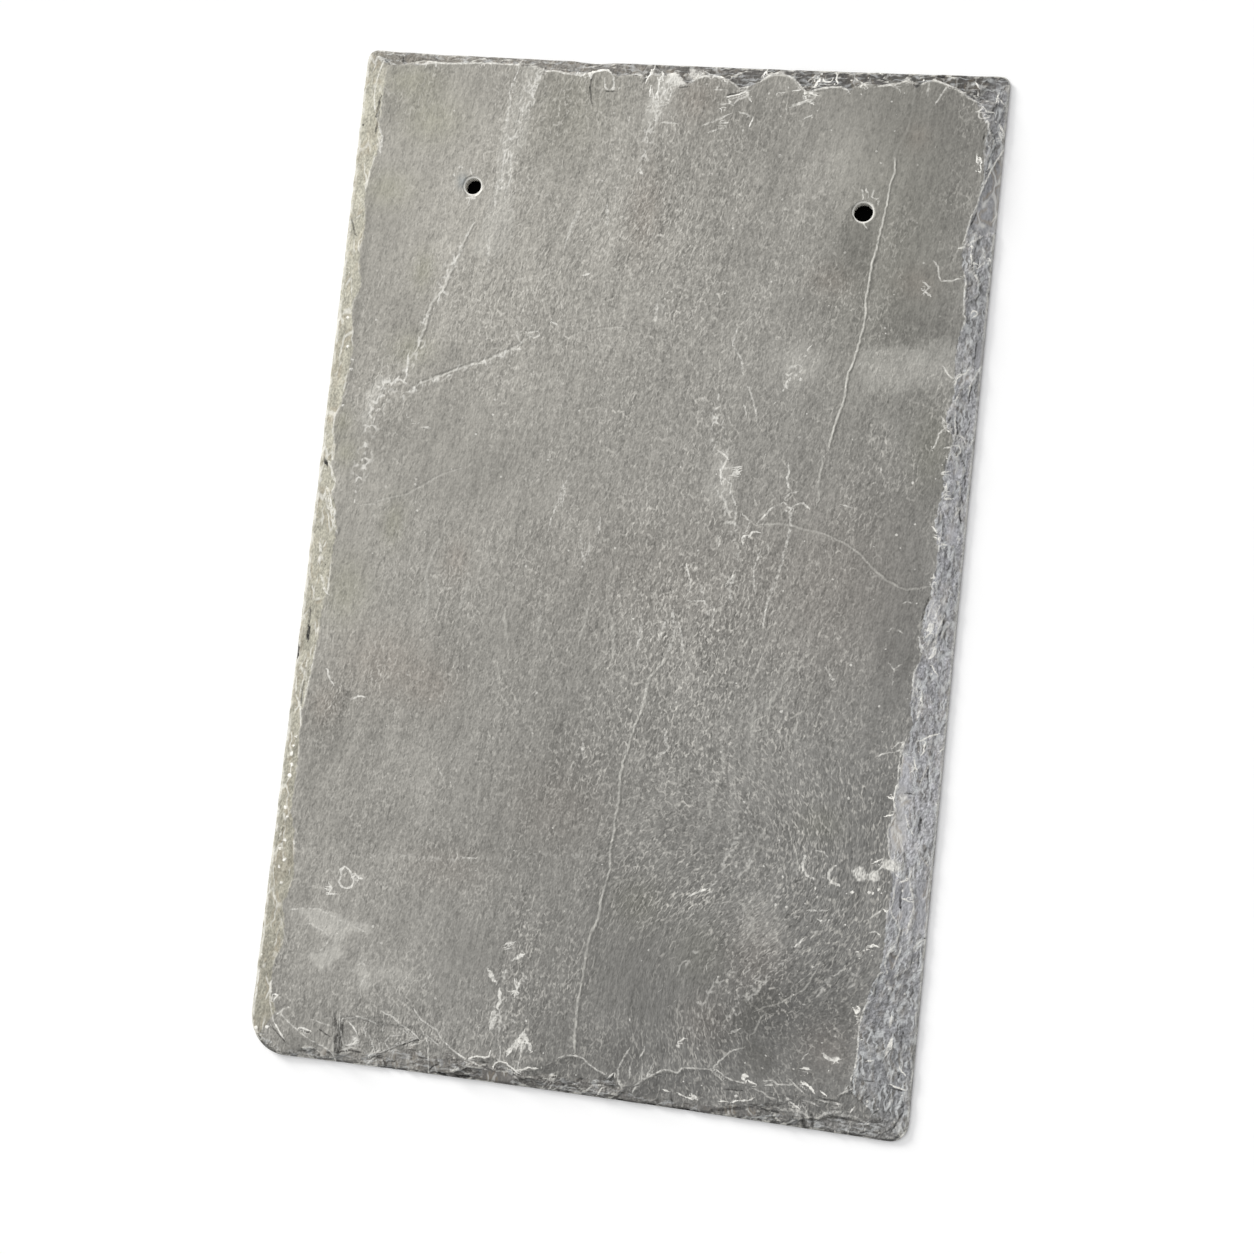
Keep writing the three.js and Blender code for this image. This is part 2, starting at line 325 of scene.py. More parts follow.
DRESSINGS = {
    Side.TAIL: Dressing(
        hollow=1.1,
        roughness=1.0,
        rim_shade=-0.55,
        corner_rim=7.0,
        corner_arris=6.0,
        shades=("#b3b1ab", "#84817d", "#7f7d7a", "#868583"),
        arris=(
            (-127, -181), (-119.5, -184), (-115, -186.5), (-110, -189), (-105, -190.5), (-100, -191.8),
            (-95, -194.5), (-91.4, -196), (-90.6, -182), (-84, -181), (-77, -180), (-72, -178.3), (-67, -181),
            (-60, -182), (-56, -183.5), (-50, -186), (-45, -188.3), (-40, -191), (-35, -190), (-30, -189),
            (-24, -190.7), (-19, -193), (-12, -191.3), (-4, -186.5), (0, -184.7), (5.5, -185), (10, -188),
            (15, -190.3), (19, -190), (21, -193), (26, -192), (30, -189), (35, -186), (42, -185.3),
            (43, -183.3), (54, -182.7), (60, -185), (66, -186), (72, -187), (80, -188), (88, -187),
            (95, -187.5), (102, -187), (106, -183), (127, -182),
        ),
        torn=(
            (-127, -197), (-108, -198), (-104, -195), (-95, -194.8), (-92, -196), (-86, -194.8), (-76, -194),
            (-72, -193.5), (-66, -190.8), (-60, -190), (-56, -192.5), (-44, -191), (-38, -192.5), (-30, -192),
            (-24, -192), (-18, -194), (-8, -193), (2, -193.5), (12, -191.5), (17, -190.5), (20, -194),
            (26, -196.5), (44, -196.8), (58, -195.5), (66, -193.5), (74, -193), (80, -194.5), (88, -195.5),
            (98, -193), (112, -193), (118, -190), (127, -188),
        ),
    ),
    Side.RIGHT: Dressing(
        hollow=0.3,
        roughness=0.6,
        rim_shade=0.4,
        corner_rim=3.5,
        corner_arris=7.0,
        shades=("#8c8d8f", "#b0b0b3", "#b5b5b9", "#acacae", "#9b9b9d"),
        arris=(
            (-200, 104), (-190, 104), (-180, 105.3), (-175, 106.3), (-160, 106.5), (-150, 108), (-143, 110),
            (-139, 112), (-130, 112.5), (-120, 112), (-110, 113.3), (-104, 113), (-100, 111.5), (-97, 111),
            (-92, 110.3), (-88, 109.5), (-83, 110.5), (-78, 111.5), (-74, 110.5), (-70, 111.5), (-65, 112),
            (-57, 112), (-53, 113.5), (-48, 114.7), (-40, 113), (-34, 113.5), (-28, 113.4), (-25, 115),
            (-22, 115.4), (-17, 114), (-12, 115), (-8, 114.7), (-3, 115.8), (0, 117), (4, 116.3), (8, 117),
            (12, 117.5), (17, 117.8), (20, 117.5), (24, 116.5), (26, 115.6), (30, 116), (35, 116.5),
            (40, 117.7), (45, 117), (50, 117.5), (56, 118.7), (60, 119.3), (64, 116.5), (67, 115.5),
            (71, 116.5), (75, 118), (83, 117.5), (86, 117), (97, 117.5), (100, 118), (104, 119.2), (108, 119),
            (112, 118.2), (118, 118.2), (122, 117.5), (126, 116.2), (130, 115.7), (134, 116.5), (139, 116.8),
            (144, 117.8), (149, 119.8), (154, 120.5), (160, 121), (165, 120.5), (170, 120), (176, 120.6),
            (200, 120.8),
        ),
    ),
    Side.HEAD: Dressing(
        hollow=0.8,
        roughness=0.6,
        rim_shade=-0.28,
        corner_rim=4.0,
        corner_arris=2.5,
        shades=("#454341", "#535150", "#6a6764", "#8a8680", "#918d86"),
        arris=(
            (-127, 193.5), (-110, 193.7), (-104, 194), (-100, 195), (-90, 195.2), (-80, 195.7), (-64, 195.6),
            (-53.5, 193.7), (-47, 193.5), (-42, 192.8), (-37, 192.7), (-34.5, 193), (-30, 194.7),
            (-26, 193.8), (-24, 192.5), (-18, 193.5), (-12, 192), (-10, 194.3), (-5, 193), (-2, 194.8),
            (1, 193.4), (4.5, 190.8), (8, 193), (10.5, 194.3), (16, 194), (22, 192), (25, 190), (28.5, 190.5),
            (31, 192), (35, 195), (40, 196.3), (45, 194.8), (49, 191.5), (52.5, 189.7), (57, 191.5),
            (64, 192), (67, 191), (72, 193.5), (78, 193.3), (84, 194), (89.5, 196), (92, 192.5), (95, 195),
            (99, 196.4), (104, 194.5), (110, 192), (115, 189), (120, 185.3), (127, 180),
        ),
    ),
    Side.LEFT: Dressing(
        hollow=0.7,
        roughness=0.22,
        rim_shade=-0.08,
        corner_rim=15.5,
        corner_arris=9.0,
        shades=("#b9b6a7", "#aba89a", "#999689"),
        arris=(
            (-200, -117), (-188, -117.5), (-184, -118), (-180, -119.6), (-170, -120.2), (-164, -119.8),
            (-161, -118.3), (-157, -117), (-149, -117.5), (-142, -119.3), (-135, -117), (-130, -116),
            (-120, -117.3), (-114, -118), (-110, -119.5), (-107, -120.5), (-95, -120.2), (-83, -120),
            (-76, -121), (-71, -120.3), (-68, -121.5), (-63, -120.2), (-58, -119.8), (-50, -119),
            (-43, -118.3), (-30, -118), (-22, -117.5), (-19, -115.8), (-14, -116), (0, -116.3), (5, -115.7),
            (10, -117), (13, -117.3), (20.5, -119.5), (22, -118.5), (25, -118.7), (28, -120), (31.5, -121.5),
            (33, -120.5), (38, -120.4), (44, -122), (50, -122.2), (55, -120.2), (64, -119.2), (76, -118),
            (88, -119.2), (92, -120.5), (96, -120.3), (100, -118.7), (104, -117.6), (108, -118.8),
            (111, -119.7), (118, -120.2), (122, -119.3), (134, -119.8), (137.5, -120.8), (145, -120.3),
            (152, -119.5), (156, -118), (162, -116.8), (165, -116.8), (167, -118.3), (194, -118.2),
            (200, -119.5),
        ),
    ),
}


@dataclass(frozen=True)
class Outline:
    """The sheet's plan.

    Attributes:
        width: the sheet's extent along X.
        length: its extent along Y.
        nick_along: how far along the head its shallow nick lies, from 0 to 1.
        nick_width: the nick's width.
        nick_depth: its depth.
        narrowest: the least width of a bevel.
        dressings: how each edge was trimmed.
    """

    width: float = STONE_WIDTH
    length: float = STONE_LENGTH
    nick_along: float = 0.63
    nick_width: float = 12.0
    nick_depth: float = 0.8
    narrowest: float = 2.0
    dressings: dict[Side, Dressing] = field(default_factory=lambda: DRESSINGS)

    # Round a corner a point's share is settled in this many passes, each of which moves it
    # by this much of what is missing, and no corner is sharper than this radius.
    CORNER_ROUNDS = 5
    CORNER_EASE = 0.9
    SMALLEST_RADIUS = 0.5

    def along(self, side: Side, x: Array, y: Array) -> Array:
        """How far along an edge a point lies, from 0 to 1, counter-clockwise."""
        share = x / self.width if side.runs_along_x else y / self.length
        return 0.5 + share if side in (Side.TAIL, Side.RIGHT) else 0.5 - share

    def bow(self, side: Side, along: Array) -> Array:
        """Finds how far the cut line lies inside the straight edge.

        Args:
            side: the edge.
            along: places along it, from 0 to 1.

        Returns:
            The distance at each place.
        """
        bow = self.dressings[side].hollow * np.sin(math.pi * np.clip(along, 0.0, 1.0))
        if side is Side.HEAD:
            away = (along - self.nick_along) * self.width / (self.nick_width / 2)
            bow = bow + self.nick_depth * np.exp(-away * away)
        return bow

    def inset(self, side: Side, x: Array, y: Array) -> Array:
        """How far inside an edge's cut line a point lies."""
        half, place = (self.length / 2, y) if side.runs_along_x else (self.width / 2, x)
        return half - side.outward * place - self.bow(side, self.along(side, x, y))

    def _strip(self, side: Side, line: tuple[tuple[float, float], ...], x: Array, y: Array) -> Array:
        """Measures the strip between an edge and a line along it.

        Args:
            side: the edge.
            line: pairs of place along X or Y and place across it.
            x: plan coordinate.
            y: plan coordinate.

        Returns:
            The strip's width beside each point.
        """
        places, across = np.array(line, float).T
        if side.runs_along_x:
            return self.inset(side, x, np.interp(x, places, across))
        return self.inset(side, np.interp(y, places, across), y)

    def bevel(self, side: Side, x: Array, y: Array) -> Array:
        """Width of an edge's bevel beside each point."""
        return np.maximum(self._strip(side, self.dressings[side].arris, x, y), self.narrowest)

    def torn(self, side: Side, x: Array, y: Array) -> Array:
        """Width of the part of an edge's bevel that tore."""
        line = self.dressings[side].torn
        return self._strip(side, line, x, y) if line else np.full(x.shape, self.length)

    def climb(self, x: Array, y: Array) -> "Climb":
        """Finds how far up the bevel each point lies, round the corners too.

        Args:
            x: plan coordinate.
            y: plan coordinate.

        Returns:
            Where the points lie on the bevel.
        """
        insets = {side: self.inset(side, x, y) for side in Side}
        widths = {side: self.bevel(side, x, y) for side in Side}
        shares = np.stack([insets[side] / widths[side] for side in Side])
        nearest = shares.argmin(axis=0)
        share = shares.min(axis=0)
        for side in Side:
            dressing = self.dressings[side]
            ahead = side.next
            for _ in range(self.CORNER_ROUNDS):
                radius = dressing.corner_rim + share * (dressing.corner_arris - dressing.corner_rim)
                radius = np.maximum(radius, self.SMALLEST_RADIUS)
                short = np.maximum(radius + share * widths[side] - insets[side], 0.0)
                short_ahead = np.maximum(radius + share * widths[ahead] - insets[ahead], 0.0)
                inside = radius - np.hypot(short, short_ahead)
                step = 2.0 * inside / (widths[side] + widths[ahead])
                both = (short > 0.0) & (short_ahead > 0.0)
                share = np.where(both, share + self.CORNER_EASE * np.minimum(step, 0.0), share)
        width = np.choose(nearest, [widths[side] for side in Side])
        torn = np.choose(nearest, [self.torn(side, x, y) for side in Side])
        return Climb(share, nearest, width, torn)


@dataclass(frozen=True)
class Climb:
    """Where points lie on the bevel.

    Attributes:
        share: 0 on the cut line and 1 on the arris.
        nearest: the number of the edge that it is measured from.
        width: width of that edge's bevel there.
        torn: width of the part of it that tore.
    """

    share: Array
    nearest: Array
    width: Array
    torn: Array

    @property
    def along_x(self) -> Array:
        """Whether the edge runs across the tile."""
        return np.isin(self.nearest, (Side.TAIL.value, Side.HEAD.value))

    @property
    def inset(self) -> Array:
        """Distance inside the cut line."""
        return self.share * self.width

    @property
    def beyond(self) -> Array:
        """Distance outside the arris, below 0 on the face."""
        return (1.0 - self.share) * self.width


# ---------------------------------------------------------------- marks of this stone

# Marks are set out on the face's level, where they appear from the viewpoint.
# These say how plainly strokes show, above 0 when pale and below 0 when dark.
BRIGHT, VIVID, CLEAR, PALE, FAINT, SLIGHT = 0.9, 0.7, 0.6, 0.45, 0.28, 0.13
DARK, BLACK = -0.5, -0.9


@dataclass(frozen=True)
class Strokes:
    """Lines on the stone that look alike: pale ridges and threads, or dark crevices and painted shadows.

    Attributes:
        width: their full width.
        shade: how plainly they show, above 0 when pale and below 0 when dark.
        routes: each line's points, as x and y in turn; a single point is a crumb.
    """

    width: float
    shade: float
    routes: tuple[tuple[float, ...], ...]


@dataclass(frozen=True)
class Facet:
    """A flake's bed or a chip with a plain outline.

    Attributes:
        tone: above 0 when paler than the stone round it, below 0 when darker.
        calm: how far it is free of smaller flakes, from 0 to 1.
        rise: how far it stands above its surroundings.
        outline: its corners, as x and y in turn.
    """

    tone: float
    calm: float
    rise: float
    outline: tuple[float, ...]

    def cover(self, x: Array, y: Array) -> Array:
        """How far each point is inside, from 0 to 1, with a border one millimetre wide."""
        return smoothstep(depth_inside(x, y, self.outline), -0.5, 0.5)


@dataclass(frozen=True)
class Wash:
    """An area with an outline that mineral bloom has made paler, or that is darker, at one place as painted
    shade.

    Attributes:
        amount: above 0 when paler, below 0 when darker.
        soft: half the width of its border.
        outline: its corners, as x and y in turn.
    """

    amount: float
    soft: float
    outline: tuple[float, ...]

    def depth(self, x: Array, y: Array) -> Array:
        """How deep inside each point is, in widths of the border, below 0 outside."""
        return depth_inside(x, y, self.outline) / self.soft


TAIL_STROKES = (
    Strokes(0.7, BRIGHT, (
        (-118.3, -176.8, -116.8, -177, -118, -178.8), (-116, -188.5, -112.8, -192.5),
        (-106, -188, -102.5, -188.7), (-86.5, -184, -85, -185, -83.7, -186.7), (-83, -190.8, -86.5, -192.2),
        (-42, -190, -40, -191),
        (-38.5, -191, -36, -189.7, -34, -189.5, -32, -189.7, -30.7, -189, -30.3, -187.7),
        (-28.5, -192.5, -28, -191, -26.5, -190.3, -24, -190.5, -22, -191.7, -19.5, -193.2, -18.8, -193.5),
        (-17.8, -192.3, -15, -191, -12.3, -191), (-22.5, -185.5, -23.5, -187.4), (13.7, -194.7, 12.5, -197),
        (17, -189.3, 16, -190.3), (26.5, -192.7, 25.7, -194), (37.5, -192.3, 38.5, -192.5),
        (43, -193, 44.5, -193.5), (46, -193.9, 48, -194.3), (58.5, -193.5, 60, -193.4),
        (63, -193.2, 64.5, -192.4), (66.5, -192.1, 67.5, -191.8), (68.9, -191.6, 70, -190.9),
        (68.3, -184.8, 70.2, -185.4), (66, -178.3), (95.5, -185.3, 96.5, -185.8), (84.5, -190.5, 87.5, -192),
        (-83, -189.3), (-15.8, -181.5), (-15.2, -182.8), (-11.7, -185.7), (-14, -186.3), (-10, -185),
        (-3.7, -191.9), (3.3, -191.3), (34, -186.2), (35, -188.3), (44, -188.3), (51, -188.7), (88.5, -179.8),
        (82.8, -176.2), (76.5, -178), (96.8, -177.2), (97, -173), (99, -173.5),
    )),
    Strokes(2.2, BRIGHT, ((66.8, -183.3), (66.3, -183.9))),
    Strokes(1.3, BRIGHT, (
        (88.4, -182.9, 89.6, -183.4), (90.9, -184.2, 91.7, -185), (48.5, -193, 49, -193.4), (64, -190.8),
    )),
    Strokes(1.3, 0.3, (
        (95, -194.7, 97, -192.7, 100, -191.6, 103, -191.4), (103, -192.4, 107, -192.2, 111, -193.3),
        (83, -189.5, 80, -190.3), (81, -193.2, 85, -193.1, 89, -193.4),
    )),
    Strokes(0.7, 0.34, (
        (-120, -172, -119.7, -180, -118.2, -184, -117.5, -186.5),
        (-115, -183.5, -110, -187.5, -105, -190.5, -101.5, -192.3,
         -97, -193.8, -94, -195, -91.5, -196.8, -90.5, -198.5), (-113.5, -181.8, -116, -184),
        (-101.3, -184.6, -98, -185.2, -95, -185.7), (-91, -182, -90.5, -186, -90.7, -190, -90.2, -194),
        (-88.5, -194, -85, -192.8, -82, -193),
        (-89.5, -182.5, -86, -181.8, -84, -181, -80, -181.5, -76.5, -182.5),
        (-74, -178, -70, -179.3, -67, -181.5, -62, -183.7, -59, -186), (-66, -183.5, -61, -186),
        (-77.5, -195, -76, -192, -77, -189.5), (-75, -194, -73.5, -191.5, -74.5, -189),
        (-80, -187, -81, -185, -80, -183), (-73.2, -182, -73.4, -185),
        (-70, -192, -72, -189, -70, -186.5, -67, -186), (-68.5, -190, -66, -188.2, -63, -188),
        (-73, -193, -65, -188.6, -60, -186.3), (-62.5, -189.5, -59, -188), (-78, -198, -75, -195.3),
        (-61.5, -176, -58.5, -179, -55.5, -180.3, -52, -182, -50.8, -184, -48.5, -186, -45.5, -188.2),
        (-45.5, -188.2, -43, -189.7, -40, -191.3, -37, -191.8, -34.5, -192.8, -31.5, -193.8),
        (-56, -184.5, -51, -187.2), (-27, -194, -23, -193.7, -20, -195, -18, -196.5),
        (-26.7, -184.8, -26.3, -190), (-19, -182, -18.4, -186, -19, -189.5, -19.2, -192.5),
        (-31.5, -172, -31.5, -179), (-29, -172, -30.3, -178),
        (-3.5, -185.8, -2, -184.8, 2, -184.3, 5.3, -184.8, 8, -187, 12.5, -189, 14, -189.5),
        (-9, -197.5, -7.5, -195, -5.5, -193), (-6.5, -198, -4.5, -195, -2, -193.5),
        (8, -196.5, 10, -194.5, 13, -193.7, 14.5, -193.9), (19.3, -187.5, 19.5, -191.5, 21, -193.5),
        (22.3, -179.5, 20.7, -182.5, 20, -184.5, 18.8, -187.5), (23.5, -186, 23.7, -189),
        (28, -186, 28.5, -189.5, 30, -189, 31.5, -184),
        (26, -192, 29, -189.8, 32, -187.5, 36, -185, 38, -184.8, 42, -185.5, 42.7, -183.5, 46, -183),
        (46, -183, 50, -182.7, 54, -182.5, 55.5, -184, 58, -185.5),
        (56, -182.3, 59, -184.3, 62, -185.3, 66, -185.7), (54.5, -181.5, 58, -177.5, 60, -175, 64, -173.3),
        (70.5, -187.5, 74, -188, 75.5, -189.3, 79, -190), (74, -184, 77, -183.3, 78.5, -184.2),
        (75, -185.3, 79, -184.5, 84, -184), (83.5, -182.5, 86, -184.5, 88, -185.8),
        (94, -188, 97, -188.3, 102, -188.5), (100, -189.7, 102.5, -189.9),
        (88.5, -190.5, 90.5, -193, 91, -195.5), (89, -189, 92, -189.3, 94, -190),
        (80.5, -193, 84, -193, 90, -193.8), (101.8, -185, 104, -183.5, 105.5, -182.7),
        (105.2, -181.5, 105.3, -178, 106.3, -176.4, 107, -178, 106.8, -181.5), (-57, -184, -55, -187),
        (-55, -187, -54.5, -191, -53.5, -198), (-90, -187, -87, -195), (-79, -186, -76.5, -191),
    )),
    Strokes(0.7, DARK, (
        (-106, -189, -102.5, -189.6), (-89.2, -184, -89.3, -190),
        (-91, -195.5, -88, -194.8, -85, -194, -81, -194.3), (-73.3, -182, -73.5, -185.5),
        (-71, -198, -69.5, -196, -67.5, -195.8), (-74.5, -195, -72, -195.2, -71, -197),
        (-58, -192.8, -55, -193), (-53.5, -197.5, -52, -195.5, -50, -194.5), (-5, -193.2, -3.2, -192.8),
        (40, -194.5, 40.8, -197, 41.5, -198.5), (95, -187.2, 101, -187.7), (17.4, -190, 16.6, -190.9),
        (-118, -189, -112, -194), (-98, -188, -94, -190), (60, -189, 66, -188.6), (74, -194, 80, -194.6),
    )),
    Strokes(1.3, DARK, (
        # Painted shadows: the first two routes are the shade of the scar's wall near x = -92 and the shadow
        # beneath the raised blade from (-73, -193).
        (-92.8, -182, -92, -186, -91.8, -192, -91, -195),
        (-73, -194, -70, -191.5, -66, -189.3, -61, -187.3, -58.5, -186.5), (-1, -195.5, 3, -194, 5.5, -192.5),
        (55, -197.5, 60, -196.5, 66, -195, 72, -193, 80, -191.8), (100, -193.3, 112, -193.8),
        (-33, -191.5, -31.8, -191.5), (92.5, -194, 93, -197.5), (89.5, -196, 90, -198),
    )),
    Strokes(0.9, BLACK, (
        (-71, -198.8, -67, -198.6), (-66, -198.8, -63, -198.5), (-49.5, -197.7, -47, -198),
        (-42.5, -197.8, -37.5, -197.5), (20, -198.2, 22, -198.2), (32, -198.3, 34, -198.3),
        (44, -198.3, 47, -198.2),
    )),
)

HEAD_STROKES = (
    Strokes(0.7, BRIGHT, (
        (-39, 193, -38.3, 192, -37.5, 192.3, -36.8, 193.2), (-12, 191.3, -10.5, 194.7),
        (-5.8, 194.5, -5.5, 192), (-7.5, 192, -6.8, 190.5, -7, 187, -7.5, 185), (-10, 188, -10.2, 186),
        (17.2, 194, 18, 193.8), (20.5, 186.3, 24, 187.2, 27.5, 188.8), (29.3, 186, 29.5, 185.6),
        (30.5, 175.7, 31.3, 177.8), (33.5, 195.5, 34.5, 197), (52.5, 189, 55, 188.5),
        (50.3, 189, 51, 187, 52, 186, 53.3, 185.3), (46.5, 190, 48, 190.3), (54, 192.3, 55.7, 194.7),
        (57.5, 194, 59.5, 193.8), (62, 196.8, 61.8, 195, 62.5, 194), (18.3, 181.3, 17.8, 182.2), (7.3, 194.3),
        (-27.8, 187.4), (-22, 188.2), (-34.5, 192.3, -34.3, 193.7, -32, 194.2, -30, 194.9, -27.5, 194.8),
        (-101.5, 194), (-98.5, 194), (-89.3, 195.5), (-87, 195.7), (-79, 195.5), (-75.5, 195.8), (-60.3, 191),
        (-62.5, 180), (-61, 177.5), (-62, 175), (-24, 192), (-9.8, 180), (18.8, 192), (17, 190.3),
        (43.6, 183), (60, 186.8), (67.5, 189.7), (71, 192.5), (74.2, 192.5), (73.7, 190.3), (76.5, 194.3),
        (76.3, 197.4), (92.3, 194.4), (89.7, 194), (95, 196), (88.4, 190.8), (-57.3, 177.5), (-24, 188),
        (-30, 188), (-36, 188),
    )),
    Strokes(1.4, BRIGHT, ((-34.5, 192.6, -34.4, 193.4), (37, 188.5), (54.5, 193, 55.3, 194.2))),
    Strokes(0.9, PALE, (
        (50, 190, 52.5, 189.3, 54, 190.5, 58, 191.5, 61, 192, 64, 192.1, 66.3, 191.2), (78, 193, 82.5, 193.7),
    )),
    Strokes(0.9, FAINT, (
        (4.8, 191, 6, 192, 8.5, 193.2, 10.5, 194), (20, 193, 22, 191.8, 24.5, 190), (84.5, 194, 89.5, 196.2),
        (97, 194.5, 97, 191), (108, 193.3, 110, 191.7, 114.5, 189, 116.5, 188.3), (-8, 186, -9.5, 178),
        (-4.5, 181, -6.5, 174), (-18, 194, -14, 193.4),
    )),
    Strokes(0.7, PALE, (
        (-119.7, 195, -121, 191, -121.8, 186, -122, 180, -121, 175),
        (-106, 194.3, -103, 194.2, -101, 195.5, -97, 195, -93, 194.8, -86, 195.2, -80, 195.7, -64, 195.5),
        (-63, 196.8, -64, 193, -65.5, 188.5, -66.5, 184.5, -65.5, 180, -66, 177, -66.5, 173),
        (-53.8, 193.7, -55, 193, -55.5, 190, -57, 187, -58.2, 185.5, -58, 183),
        (-54.5, 192, -54.7, 189, -56, 186, -57, 183, -55.5, 181.5, -56.5, 179.5),
        (-53, 193.5, -47, 193.7, -46, 193, -43, 192.7, -39.5, 192.5),
        (-27.5, 194.8, -26, 193.5, -25.2, 191.5, -24.8, 189.5,
         -24.5, 187.5, -27.5, 187.3, -28.3, 188.5, -28.7, 191), (-9.2, 197.5, -10, 195),
        (10.8, 195.8, 13, 194.8, 16, 194.2), (12, 194.5, 13.3, 193), (15.5, 188.8, 18.5, 189.2),
        (25, 189.7, 28.5, 190.7), (28.3, 188.5, 29.3, 186), (20.5, 186.2, 22, 184, 19.5, 183.3),
        (16, 176.3, 18.5, 177.5, 21.3, 179.2), (19, 175.8, 21.3, 176), (26, 180.3, 28, 180.3, 30, 179.3),
        (33, 193, 34.5, 194, 36, 195.8, 38, 196.3, 40, 197,
         43, 195.8, 45, 195, 47.5, 193, 49, 191, 50.5, 190), (40.5, 188.7, 42.5, 189),
        (46, 184.2, 48.5, 185.2, 50.5, 186), (51.3, 179.3, 53.8, 180.5), (51.5, 194.3, 53.5, 195.8),
        (69.5, 195.4, 72, 194, 73.5, 192.8), (83, 193.5, 86, 192.3), (104, 193.8, 102, 190.5, 100.5, 187.5),
        (99.5, 196.3, 104, 194.8, 106.5, 194), (109, 192.7, 110.5, 191.3), (-3, 190, -4, 184),
        (-5, 188, -6, 181), (-1.5, 188, -2.5, 183), (13, 185.4), (41, 184.5), (15.5, 190),
    )),
    Strokes(1.2, PALE, ((23.8, 184.5, 25, 185.8, 28, 186.7),)),
    Strokes(0.8, DARK, (
        (-119.3, 180, -120, 176, -120.3, 172), (-112, 196.5, -111.5, 194.8), (-119, 195.2, -117.5, 193.8),
        (-34, 191.6, -34.2, 188, -33.5, 184, -32.5, 181), (-18.5, 194.2), (-12.8, 191.3, -11.4, 194.7),
        (-9, 197.5, -5, 194.5), (20.5, 187, 24, 188), (-24, 186.6, -27.5, 186.4), (2, 189.3, 4.6, 189.8),
    )),
    Strokes(1.0, BLACK, ((100.5, 197.8, 102.5, 197.7),)),
)

